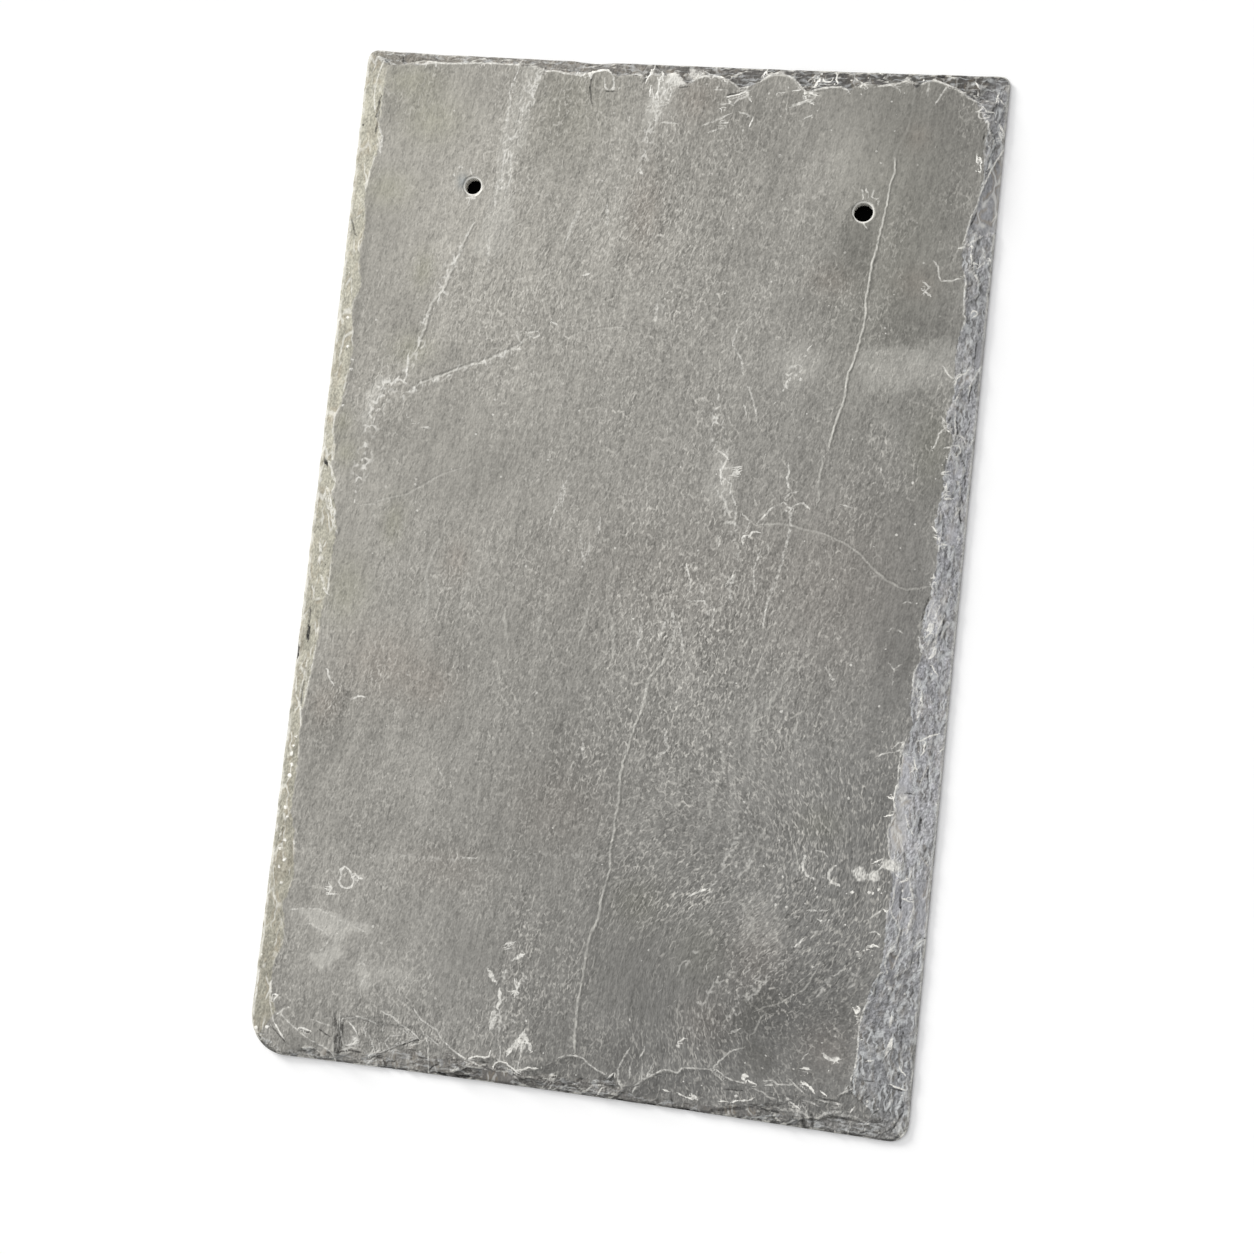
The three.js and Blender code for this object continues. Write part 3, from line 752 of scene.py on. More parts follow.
HOLE_STROKES = (
    Strokes(0.8, PALE, (
        (-77.5, 141.3, -78, 139.5), (-78.3, 151, -78.8, 152.6), (76.1, 152.4, 76.8, 149.4),
        (80.7, 153.2, 80.1, 150.3), (77.8, 139.8, 79, 137.8), (81.5, 149, 82.5, 147.5),
    )),
    Strokes(0.7, VIVID, ((-78, 141.2, -76, 141.6, -74.3, 142.7, -73.1, 144.6),)),
    Strokes(1.3, PALE, ((-83, 148.7), (-83.6, 153), (-82, 153.4), (-85, 150), (-83.5, 145.5), (82.3, 148.8))),
)
RIGHT_STROKES = (
    Strokes(0.7, BRIGHT, (
        (118.5, 186.5, 119.8, 185, 121.7, 184.7), (119, 182.3, 120.5, 182.9),
        (120.3, 181.5, 121, 180.3, 120.9, 179), (115, 195.5, 115.7, 194.5), (115.8, 192, 115.9, 191.4),
        (123.5, 191.5, 123, 189), (125.7, 179.3, 126.8, 176.8), (125.3, 176.5, 126, 174.8),
        (117.7, 167.5, 118, 165.5), (119, 167, 119.7, 165.3), (119.5, 164, 119.7, 162.7),
        (122.5, 163.2, 122.8, 165), (127.5, 170.5, 126, 168, 124, 163.5, 122.5, 160, 121.5, 157, 120.6, 154),
        (119.3, 133, 119.3, 132), (119.2, 129.6, 119.7, 126.8, 121.5, 126.3), (126.2, 128.3, 126.4, 127.8),
        (118, 80, 118.5, 82, 120, 84, 121.5, 84.5, 122.5, 86), (119.5, 75.7, 118.7, 74),
        (117, 46.7, 118.5, 47.2), (118.5, 42, 118.6, 40), (117.8, 38, 118.8, 39.3), (118.5, 36.8, 120.5, 37),
        (115.5, 25.5, 116.3, 24.5), (116.7, 22, 118, 21.5), (118.5, 20, 120, 19.7),
        (118.3, -10.3, 117.5, -12.5), (120.7, -19, 120.3, -21.5, 119, -22.7), (120, -26, 121.3, -28),
        (117, -36, 117.3, -39), (124, -50.5, 121.5, -51.5, 119.5, -52.8, 118.2, -53.5),
        (120.2, -54.3, 119.8, -56), (120.2, -57, 119.3, -58.3), (126.8, -55.3, 125.8, -56.6),
        (116.6, -60.8, 117.2, -62.5, 117.8, -64), (116.3, -65, 117, -64.3), (109, -75.5, 109.6, -75.8),
        (108.7, -82.3, 111, -81.7), (106, -99.8, 108, -98.7), (102.2, -110.2), (109.6, -110.6),
        (110.9, -109.9), (103.4, -128.6), (100.5, -131), (105.4, -132.2), (96.8, -131.8), (94.5, -121.8),
        (97.5, -123.6), (88.6, -124), (103.8, -135.4), (111.5, -116.8, 112, -117.2),
        (116.5, -105.7, 118, -104.8), (118, -111.8, 119.5, -112.4),
        (107.3, -130.5, 108.2, -129.7, 109.8, -130), (104, -154, 105, -155.3, 106.3, -154, 105.5, -153),
        (117.5, -154.8, 117.3, -157), (118.5, -162.8, 118.5, -164.5, 118.8, -166), (111, -171.7, 112, -171.5),
        (122.7, -173, 123.3, -174, 124.4, -174.7), (120.2, -179.2, 122, -179.8, 124.5, -180.2),
        (107, -189.8, 106.5, -190.5), (111.2, -71, 110.6, -76), (124.7, 173.5), (122.3, 172.2),
        (121.7, 169.2), (119.4, 161.3), (123.6, 149), (122.2, 147), (120.4, 125.1), (117.3, 51.3),
        (116.8, 45.2), (112.5, 55.5), (121.3, -112), (123.5, -134.5), (124, -137.5), (119.6, -133.5),
        (121.7, -146), (125, -148.5), (108.5, -133.5), (102.8, -133), (105, -158), (107.7, -164.3),
        (124.8, -178.8), (109.5, -181.2), (113.2, -194.2), (112, -196), (122.4, -192.2), (124.8, 111.5),
        (126.5, 115), (118.8, 146.5), (118, 144.5),
        (121.3, 107.3, 122.1, 108.6, 123.5, 108.2, 123.7, 107, 122.6, 106.3), (102.2, -21), (101.4, -24.5),
        (103.2, -30.7), (111.5, -42.3), (107.2, -44.3),
    )),
    Strokes(1.3, BRIGHT, (
        (105.2, -110.9), (106.6, -111.1), (99, -111.4), (117.5, 6.3), (96.9, -112.6), (108.5, -109.4),
    )),
    Strokes(1.2, PALE, (
        (80.6, -100.3, 79.5, -103.4, 80.1, -106, 82.1, -107.6, 84.5, -108.4),
        (91.3, -103.2, 89.7, -104.8, 89.5, -107.1, 90.8, -108.8, 93.1, -109.6),
    )),
    Strokes(0.7, PALE, (
        (116.5, 185, 118, 186), (117, 184.3, 116.8, 183, 117.7, 182.3), (124.6, 189.5, 126, 187.8),
        (121.5, 178, 121.5, 176.5), (125, 180.2, 124.2, 178.5),
        (120.4, 153, 119.5, 148.5, 118.8, 146.5, 118, 144.5), (118, 144.5, 117, 140, 116.3, 136, 115.8, 134),
        (127.3, 145.5, 126, 143.2), (123.5, 131.5, 124.5, 128.5), (125, 127.5, 122.5, 125),
        (120.5, 125, 121.5, 122, 122.8, 120), (110, 119.2, 113, 119.3, 115.3, 120.3),
        (106, 126, 107.5, 124.5, 107.8, 122, 108.7, 119.5), (103, 118, 105, 116.5, 103, 114.2),
        (117.5, 122, 118.3, 120, 118, 116, 118.2, 112, 118.7, 109,
         118.5, 107, 119.5, 105.5, 119, 103, 118.5, 100),
        (113.3, 86.3, 114.5, 84.5, 116, 83, 117, 82.2, 119, 83.7),
        (126.5, 86.5, 125, 83.5, 123.8, 81, 123.3, 77), (119.2, 69.5, 119.3, 66, 120, 63, 119.7, 60),
        (114.7, 67, 116, 65.3, 118, 65), (115, 65, 116, 63.3, 117.5, 62.3),
        (115, 62.5, 113.8, 61, 113.3, 58, 112.5, 55.5), (121, 61, 123, 60.5, 123.8, 58.5),
        (126.7, 59.7, 125.3, 57), (117, 56, 119.5, 57, 121.8, 57.3, 122.5, 55, 121.5, 53.5),
        (118.8, 54, 118.7, 51.5), (123, 31, 124.3, 33.5), (118.3, 24, 118, 21, 117.8, 19.3, 118.2, 17),
        (116.3, 4.5, 117.3, 3, 117.3, 1.2), (122.3, -7, 121, -11, 120, -15, 119.3, -18.5),
        (114, -16, 115, -18.5, 116, -19.5, 117.3, -19, 117.8, -16),
        (114.7, -25.5, 113.7, -28, 113.3, -31, 113.5, -33.5, 114, -35, 113.7, -38), (115, -34, 116, -40),
        (103.5, -61, 104.3, -60, 106.5, -59.2, 109, -58.7, 111, -58,
         111.5, -56.5, 112, -55, 110.5, -54.9, 109.2, -56.5),
        (113, -53.5, 112.3, -56, 111.5, -59, 111.3, -63, 111.5, -69,
         112, -71, 111, -73.5, 110.5, -76, 111.2, -78.5),
        (111.2, -78.5, 112, -79.5, 111.5, -83, 110, -85.5, 109.5, -88,
         110.3, -91, 110.5, -95, 111.5, -97.5, 113.3, -99.8), (122.3, -62, 120.5, -66, 119.8, -69),
        (115.8, -82, 116.5, -84, 118.5, -87.5), (107, -103, 109, -101, 111, -101.5, 113, -102, 115, -104),
        (107, -119.7, 109.8, -117.3),
        (114.8, -105.5, 114, -108, 114.2, -112, 113.5, -116,
         114, -118, 115.7, -120, 117.7, -123.5, 116.5, -128.5),
        (116.5, -128.5, 114.8, -131, 113.7, -133.5, 113.2, -136, 114.3, -138.7),
        (119.5, -101, 119.3, -104, 119.7, -107, 120.8, -110, 121.5, -112.5, 121.9, -117),
        (121, -119, 120, -124.5), (118.7, -129, 118.3, -131.5, 117.2, -134, 116.5, -137),
        (126.5, -125.5, 124.5, -127.5, 123.3, -129, 123, -131), (107.5, -125.3, 108.7, -124.7, 110, -125.7),
        (111, -141.5, 111.8, -139.8, 112.8, -139.3),
        (109, -150.5, 107.8, -152, 106.8, -156, 106.3, -160,
         106.3, -163, 106.7, -167, 106.6, -171, 106.3, -175), (118, -2, 116.5, -7), (120.5, -3, 119, -8),
    )),
    Strokes(0.8, BRIGHT, (
        (116.8, -12.8, 118.5, -13, 118.7, -10.3, 117.5, -10.2, 116.8, -12.8), (117.8, -13.5, 116.7, -15),
        (116.8, 51.4), (116.2, 49.3), (117.4, 47.6), (114.2, 44), (118.4, 44.6), (118.2, 41), (118.4, 38.6),
        (117.3, 7.5, 118, 5.5),
    )),
    Strokes(0.7, 0.2, (
        (104.5, -26.5, 106, -28.3, 108, -26.5), (106.2, -28.5, 105.9, -31, 106, -34),
        (107, -3.5, 108, -2.6, 109.5, -2.8), (102.5, -14.3, 104, -13, 107, -14),
    )),
    Strokes(1.0, PALE, (
        (120.4, -14.5, 119.9, -19, 119, -22.5), (117.6, -40, 116.4, -45), (104.8, 48.5), (108.2, 26.6),
    )),
    Strokes(1.3, PALE, ((121.8, 136.5, 119.5, 135, 117, 133, 115.5, 132.3),)),
    Strokes(0.7, DARK, (
        (119.8, 176, 119.5, 174), (119.5, 145, 118.8, 143, 118, 141.3), (124.5, 96, 124.3, 90),
        (124, 80, 123.7, 74), (124.5, 64, 123.5, 61.5), (125, 46, 125.2, 43), (124.5, 38, 125, 36),
        (127.5, 9.5, 127.5, 8.5), (116, -1, 115, -5, 114.3, -9), (122.5, -9, 121.5, -14),
        (117.7, -24, 117.7, -25.2), (115.3, -73.2, 116.8, -73.2), (121, -180.5, 124, -180.8),
        (110, -179, 113, -178.8), (122.3, -160, 122.2, -164), (122, -195, 123.5, -191.5, 125, -188.5),
        (124.5, -186.5, 126, -184.8), (111.3, -185.3, 112.3, -184.3), (115, -189.8, 116, -189),
        (119.9, 66, 120.6, 63, 120.3, 60), (124, 32, 125, 29), (122, -64, 122.5, -69),
    )),
    Strokes(1.2, DARK, ((121.2, -82, 121, -87), (116.5, -108, 117, -115), (127.3, 115.5, 127.5, 114.5))),
    Strokes(0.9, BLACK, ((126.8, -125), (127, -133))),
)

LEFT_STROKES = (
    Strokes(1.5, BRIGHT, (
        (-122, 137.5), (-121.8, 90), (-120.3, 78.5), (-117.5, 73), (-117.7, 69.3), (-119.3, 54.5),
        (-122.3, -77), (-122.6, -81), (-123, -84), (-122.4, -88), (-123, -92.5), (-123.5, -115.5),
        (-121.5, -117.5), (-123, -121), (-117.5, -118), (-124, -190.5), (-119.5, -189.5), (-123, -105),
        (-121.6, -108.5), (-122.4, -112), (-120.6, -125), (-122.7, -128), (-121, -134),
    )),
    Strokes(1.0, PALE, (
        (-121.8, -66, -120.9, -71), (-118, 167, -116.6, 164, -116.2, 160), (-117.7, 163, -116.8, 158),
        (-122, 31, -120.8, 29, -120.3, 26.5, -119, 25), (-121.5, 21, -120, 18.5, -119.4, 15, -117.5, 12),
        (-122, 18, -120.6, 14, -119, 12.5, -118.2, 9, -115.9, 5), (-122, 0, -121.3, -3, -121.6, -8),
        (-119.5, -14, -118.3, -16, -118, -18.5, -116.5, -20),
    )),
    Strokes(0.7, FAINT, (
        (-118.6, -42, -119.3, -52, -120.6, -63), (-121.3, -47, -122.8, -63), (-122.4, 50, -122.2, 44),
    )),
    Strokes(0.9, DARK, (
        (-125, 129, -123, 124), (-118.7, -8.8), (-121.5, -56, -121.8, -64),
        (-119.6, 180, -119.2, 172, -119.6, 166), (-122.5, -27, -122.4, -33), (-120.5, 131.5), (-120.5, 128),
        (-121.8, -110.3), (-122.8, -118.5), (-121.5, -130),
    )),
    Strokes(1.4, BLACK, (
        (-122.2, -33.5, -122.2, -38.5), (-125.6, -42.5, -125.5, -45.5), (-123.8, 32, -123.3, 30.8),
    )),
    Strokes(0.9, BLACK, ((-125.2, 168.3), (-126, -107))),
)

VEINS = (
    Strokes(1.1, 0.55, (
        (20.5, -30, 19.5, -34, 16, -38.5, 14, -42, 13.5, -48, 12.5, -54, 9.5, -64, 8, -75),
        (8, -75, 8, -85, 7.2, -92, 7.5, -100, 7, -108, 7.8, -113, 6.5, -120, 5.5, -127, 4.5, -134),
        (4.5, -134, 2.5, -138, 2, -146, 1.5, -155, 0.8, -165, 0.5, -175, 1.5, -183),
    )),
    Strokes(0.9, BRIGHT, (
        (87, 166, 87.5, 160, 86, 152, 85, 140, 83.5, 130, 82, 120, 81.5, 110,
         82, 100, 81, 93, 79.5, 87, 78, 80, 77, 72, 75.5, 62, 73.8, 54),
    )),
    Strokes(1.0, 0.32, (
        (82, 17.5, 88, 14, 94, 9, 100, 4.5, 104, 2.3, 108, 1.5, 112, 2.5, 115, 3.5),
        (52, 21.5, 58, 22, 64, 21.5, 72, 20.5, 78, 19, 82, 17.5),
        (-124, -137, -122.5, -142, -119.5, -147, -118, -151, -116, -155, -115, -157),
    )),
    Strokes(1.1, 0.62, (
        (-75, 131, -77.5, 124, -80, 118, -84, 104, -87.5, 98, -89.5, 93, -90.5, 86, -91.5, 80),
        (-93, 62.5, -88, 66, -80, 69, -75, 72, -69, 75, -60, 78, -53, 81.5, -48, 86),
    )),
    Strokes(0.9, PALE, ((72, 48, 70.5, 40, 71.5, 33),)),
    Strokes(0.9, 0.3, ((70, -158, 78, -154.5, 83, -150.5, 86, -148, 88, -142), (70.5, -160, 68, -167))),
    Strokes(1.3, 0.12, ((92, 192, 92, 182, 87, 166),)),
    Strokes(0.9, FAINT, (
        (-35, 85, -28, 90, -20, 92, -12, 93), (-105, 16, -98, 19, -90, 21, -78, 29, -70, 33),
        (-68, -173, -63, -175.5, -59, -179), (54, -18, 51, -21, 49, -25), (39, -122, 37, -126),
        (-60.5, -164, -58.7, -162, -58.5, -160), (76, -98, 77, -102, 79, -107),
    )),
    Strokes(1.7, FAINT, (
        (68, -30, 66, -38, 62, -45, 61, -55), (76, -38, 74, -46, 72, -56, 67, -66), (56, -45, 55, -60),
        (45, -60, 46, -70, 44, -78, 43, -88), (39, -50, 38, -58), (64, -93, 62, -98, 62, -102, 59.5, -107),
        (60, -122, 64, -127, 62, -132), (-2, -20, -1, -32), (-12, -18, -13, -27), (-30, -16, -30, -26),
        (-44, -22, -42, -30), (-60, -12, -62, -20), (-78, -8, -76, -20), (-74, 4, -77, -6),
    )),
)

FLECKS = (
    Strokes(0.9, CLEAR, (
        (-95, 76.5, -95, 69.5), (-38, 93.2, -37, 92.8), (-85, 48.7, -83.5, 48.7),
        (-112.5, -50, -111.5, -53, -109.8, -55), (-100.2, -59.8, -98.5, -58.8, -97, -58.7),
        (32.3, 48, 34, 47, 35.3, 46), (34.5, 42.5, 33.4, 41, 33.8, 38.5, 34, 36.5), (38.8, 42.5, 40.2, 42.6),
        (39, 40.5, 40.6, 41), (38.2, 39.3, 39.6, 39.2), (44.7, 14.3, 44.4, 15.5, 45.3, 16.7),
        (47.2, 17, 48, 18.4, 50, 18.5), (24.5, 3, 25.5, 0), (103, 115, 105, 113.5),
        (-96, -132.8, -97.9, -131, -96.9, -128.5, -97.7, -126.3, -96, -124.9, -94.5, -125.7, -93.3, -127),
        (-101.3, -132.4, -100.6, -133.3), (-102, -134.4, -100.7, -134.5), (-101, -136, -98.9, -135.8),
        (-99.5, -131.3), (-93, -127.5, -91.6, -130.3, -92.2, -132, -93.8, -132.9, -95.4, -133),
        (-91.5, -127.3, -90, -128.3, -89, -128.7), (-29, -146.5, -26.5, -145.5),
        (-24, -160, -22.5, -163.5, -25, -164), (-22, -160, -23.5, -165), (39, -120, 41, -118.7, 44.5, -117),
        (82.5, -131, 80.5, -133.5), (78, -135), (107, -130.5, 109, -130), (103.5, -133),
        (118, -155.5, 117.5, -158), (41, -173.5, 43, -172.5), (87.5, -177.5, 89.5, -177.5), (84, 89.8),
        (92, 99), (90.5, 97.5), (64, 128.5), (45, 115), (-118, 73), (-118, 69.5), (-27.8, 113, -26.5, 113.5),
        (-35, 111), (-47, 91.5), (-44, 91.8), (-39, 94.5), (-66, 169.5), (-25, 151),
    )),
    Strokes(1.5, CLEAR, (
        (-77, 126), (43.3, 164), (-10, 155), (58, 79.5), (56, 77.7), (60, 78), (84, -34),
        (-25, -151.5, -22.5, -150), (-22.7, -175), (-18.5, -178.5, -21, -183, -23.5, -186.5),
        (-18.5, -178.5, -19, -183), (-18.5, -178.5, -16.5, -181.5, -15, -184), (105, -154.5),
        (95, -172, 97, -173, 100, -172.5), (40.5, -175.5), (118.5, -163, 117, -168),
        (-29.5, -164.5, -28.8, -168, -30, -170.5, -31, -174, -31, -177.5),
    )),
    Strokes(2.2, CLEAR, ((-34, -158, -32, -160.5), (-30.3, -171, -31, -176), (67, -183.5))),
    Strokes(0.8, SLIGHT, (
        (-113, -149, -107, -148.3, -101.5, -150.5, -98.8, -152.5, -99.5, -155, -102, -158),
        (-115.4, -143.8, -110.5, -142.6, -104.4, -142.4, -99.6, -144, -92, -146.8, -86, -148.4),
        (-88, -164, -85, -160, -82, -163, -84, -168), (-60.5, -168, -58, -164, -57, -160),
    )),
    Strokes(0.8, PALE, (
        (50, 22.3, 52, 25, 54.5, 28.3), (59, 45, 59.5, 41.5, 58.8, 40, 60, 36.5),
        (59, 30.5, 61.3, 28.3, 64, 30.5, 66, 31, 68, 29.5), (56.3, -9, 55.8, -16.5), (42.8, 1.5, 40.3, -1.8),
    )),
    Strokes(0.8, 0.3, (
        (-30.6, 12.8, -30.2, 17), (-29.4, 18, -29, 22), (-28, 24, -27, 30), (-26.2, 31, -25.4, 34),
        (-26.5, 23, -26, 28), (-48, 89, -43.5, 89.5, -43, 88, -45, 87, -47, 87.5, -48, 89),
        (-52, 88, -51, 85.5, -50, 84.8), (-86.5, 44), (-119.5, 54.5), (-65, 22.5), (-29.5, 22.5), (-93, 6),
        (40, 66, 41, 63), (44, 66, 45, 62), (34.5, 38, 38, 36, 38, 33, 40.5, 28.5), (41, 26, 41, 20),
        (44, 24.5, 46.8, 22.3, 45.5, 18), (54.5, 28.3, 57.5, 30), (58.7, 32, 60.5, 34, 63, 35),
        (51.5, 10.5, 50, 4, 51, -3), (54.5, 13.3, 54.7, 11.8), (81, 31.5, 83.5, 31),
        (27, -10, 32, -9.5, 34, -11, 34, -14), (36.5, -12, 36.5, -18), (24, -19, 25.5, -24, 26.5, -29),
        (81, -30.5, 83, -33), (105, -27, 106.5, -29), (-63, -84, -61.5, -86), (-79.5, -82), (-97, -82.5),
        (-50, -116, -47, -116, -45, -115.5), (-28.5, -148.3, -26.5, -147.5), (27, -181, 28, -178.5),
        (85, -98, 87, -98, 88, -99), (40.5, -115.5), (43, -113), (83.5, -126),
        (84, -120, 87, -119.8, 90, -119.3), (81.5, -119), (88, -172.5, 87, -174), (66, -178.5),
        (34, 96, 33, 90), (34, 88, 37, 84, 38, 79), (41, 73, 44, 66), (13, 175, 22, 179.5),
        (15, 172, 20, 174), (-4, 175, 1, 175), (45, 183, 54, 187), (-65, 161, -66, 152, -65, 145),
        (-63, 160, -62, 150, -63, 145), (-56, 192, -58, 183, -59, 176), (-64, 190, -66, 178, -66, 170),
        (-35, 134, -37, 124), (-84, 154), (-84, 151.5),
    )),
    Strokes(1.3, 0.24, (
        (-16.5, 5, -15.5, 2), (-14, 8, -14, 5), (-17.5, 10, -17, 7), (-11, 18, -11, 14), (35.5, 16, 35.5, 13),
        (61.5, 27.5, 62.2, 22, 61.2, 13, 59, 1.5, 57, -5, 56.5, -7.5), (43, 1, 41.5, -4, 43, -8),
        (26.5, -3, 26, -9), (30.5, -4, 31.5, -6), (21, -15, 21.5, -19, 22.5, -24, 21, -29),
        (18.5, -19, 17, -25), (9.5, -21, 9, -29), (23, -60, 23.5, -64, 25, -66), (24, -67, 21, -70),
        (-8, -68, -7.5, -72), (-29, -157, -26, -156), (-21, -157, -20, -158), (54.5, -133),
        (60, -168, 62, -167), (68, 131.5), (2, 103, 2, 97), (-68, 124, -67, 116), (-33, 138, -36, 128),
        (-22, 140, -21, 134),
    )),
)


ROUGH_STROKES = (
    Strokes(3.0, PALE, (
        (-78, 123, -80, 118, -82, 113), (-84, 101, -88, 96, -90, 92, -91, 85, -91, 80),
        (-92, 62.5, -88, 66, -80, 69, -75, 72, -69, 75), (-67, 75, -60, 78, -53, 81.5),
    )),
    Strokes(3.0, SLIGHT, (
        (-86, -119.5, -74, -118.7, -58, -117, -43, -116.2, -33, -115.5, -23, -112.4, -12, -111, 2, -109.8),
    )),
    Strokes(3.0, 0.22, (
        (56, -112, 60, -106, 63, -99, 66, -92), (46, -120, 50, -108, 54, -98, 56, -88),
        (70, -118, 76, -110, 80, -103), (58, -163, 60, -158, 64, -152, 68, -147),
        (48, -158, 52, -151, 60, -144), (44, -170, 50, -160), (62, -160, 66, -154, 73, -144),
        (78, -140, 86, -128, 94, -120), (90, -150, 98, -140, 106, -132), (36, -150, 44, -140),
        (100, -150, 103, -143, 102, -137),
    )),
    Strokes(8.0, PALE, ((-98, 66, -102, 65, -105, 60, -106, 52, -107, 46), (-108, 36, -109, 28))),
    Strokes(6.0, PALE, ((56, 78, 58, 82), (30, 62, 31, 50))),
    Strokes(6.0, FAINT, (
        (-82, 113, -85, 105, -84, 101), (-57, 192, -61, 176, -65, 160, -66, 146),
        (-2, 192, -7, 182, -9, 170, -10, 157), (-28, -160, -28, -176), (-90, 80, -95, 71, -100, 60),
        (34, 49, 35, 43, 33, 37, 35, 32), (38, 25, 40, 19),
    )),
)

WASHES = (
    Wash(0.2, 1.0, (
        -62, 196, -54, 195, -56, 183, -57, 178, -57, 163, -60.5, 160, -60.5, 147, -58, 128, -62, 118,
        -74, 118, -70, 135, -67.5, 150, -68, 165, -65, 180,
    )),
    Wash(0.17, 3.0, (
        82, 91, 86, 93.5, 91, 91, 96, 94, 104, 93, 113, 97, 118, 94, 118, 84, 113, 81, 108, 78, 103, 79,
        97, 74, 92, 77.5, 87, 75, 81, 81,
    )),
    Wash(0.22, 1.2, (98, 91, 102, 93.5, 109, 92.5, 111, 88, 107, 84.5, 100, 84, 96, 87)),
    Wash(0.2, 1.5, (82, 88, 86, 86, 92, 82, 91, 78, 87, 80, 83, 83)),
    Wash(0.14, 2.5, (52, 88, 55, 91.5, 62, 91, 68, 88, 70, 82, 64, 79, 60, 75, 55, 77, 52, 81)),
    Wash(0.3, 1.2, (
        -113, -144, -106, -142, -97, -143, -92, -145.5, -84, -146, -80, -148, -87, -149, -93, -150.5,
        -94, -154, -93, -160, -97, -162, -100, -166, -104, -164, -106, -160, -101, -158, -97.5, -155,
        -99, -152.5, -104, -150, -110, -147,
    )),
    Wash(0.3, 2.0, (-88, -163, -84, -162, -81, -165, -80, -168, -83, -172, -86, -168)),
    Wash(0.2, 2.0, (-86, -158, -82, -157, -82, -160, -86, -161)),
    Wash(0.14, 2.0, (-81, -160, -70, -160, -65, -162, -63, -164, -68, -168, -75, -166, -80, -164)),
    Wash(0.15, 3.0, (32, 50, 36, 48, 38, 38, 40, 30, 38, 27, 32, 27, 28, 33, 30, 42)),
    Wash(0.3, 1.2, (-111, 60, -107, 67, -101, 68, -103, 62, -106, 55, -109, 47, -112, 50, -109, 56)),
    Wash(0.2, 1.2, (111, -70, 115.5, -72, 116, -92, 112, -97, 110, -90, 111.5, -80)),
    Wash(0.22, 1.5, (-5, 196, 2, 192, 0, 186, -5, 180, -8, 172, -12, 174, -11, 182, -8, 190)),
    Wash(0.08, 3.0, (58, -118, 66, -116, 74, -122, 76, -130, 72, -138, 64, -136, 56, -132, 60, -126)),
    Wash(0.12, 1.5, (2, 105, 5, 103, 5, 95, 1, 93, -1, 98)),
    Wash(0.3, 0.7, (110, -98.5, 114, -98, 117.5, -99, 117, -101.5, 113, -102.5, 109, -101)),
    # Painted shade: this first dark wash, just inside the left arris, is the shade of a groove there.
    Wash(-0.2, 0.8, (
        -119.5, 135, -117.7, 134, -116.8, 118, -117, 100, -116.4, 84, -117, 62, -119.5, 60, -119.5, 100,
    )),
    Wash(-0.3, 0.7, (-119.4, 181, -118, 180.5, -118, 166, -119.3, 167)),
    Wash(-0.42, 2.5, (61, -168, 60, -160, 64, -154, 70, -151, 75, -152, 75, -157, 69, -161, 67, -168)),
    Wash(-0.42, 2.5, (66, -171, 71, -170, 75, -173, 76, -181, 72, -184, 66, -181, 64, -175)),
    Wash(-0.2, 1.5, (98, -150, 104, -147, 106, -152, 105, -163, 101, -165, 99, -158)),
    Wash(-0.2, 1.5, (83, -175, 87, -174, 88, -181, 84, -182)),
    Wash(-0.2, 1.5, (67, -142, 71, -141, 71, -148, 68, -148)),
    Wash(-0.12, 1.5, (70, 140, 72, 130, 66, 118, 80, 118, 82, 128, 83, 138, 80, 142)),
    Wash(-0.14, 1.2, (-84, -141.5, -90, -141, -88, -144, -78, -145.5, -66, -149, -70, -146, -78, -143)),
)

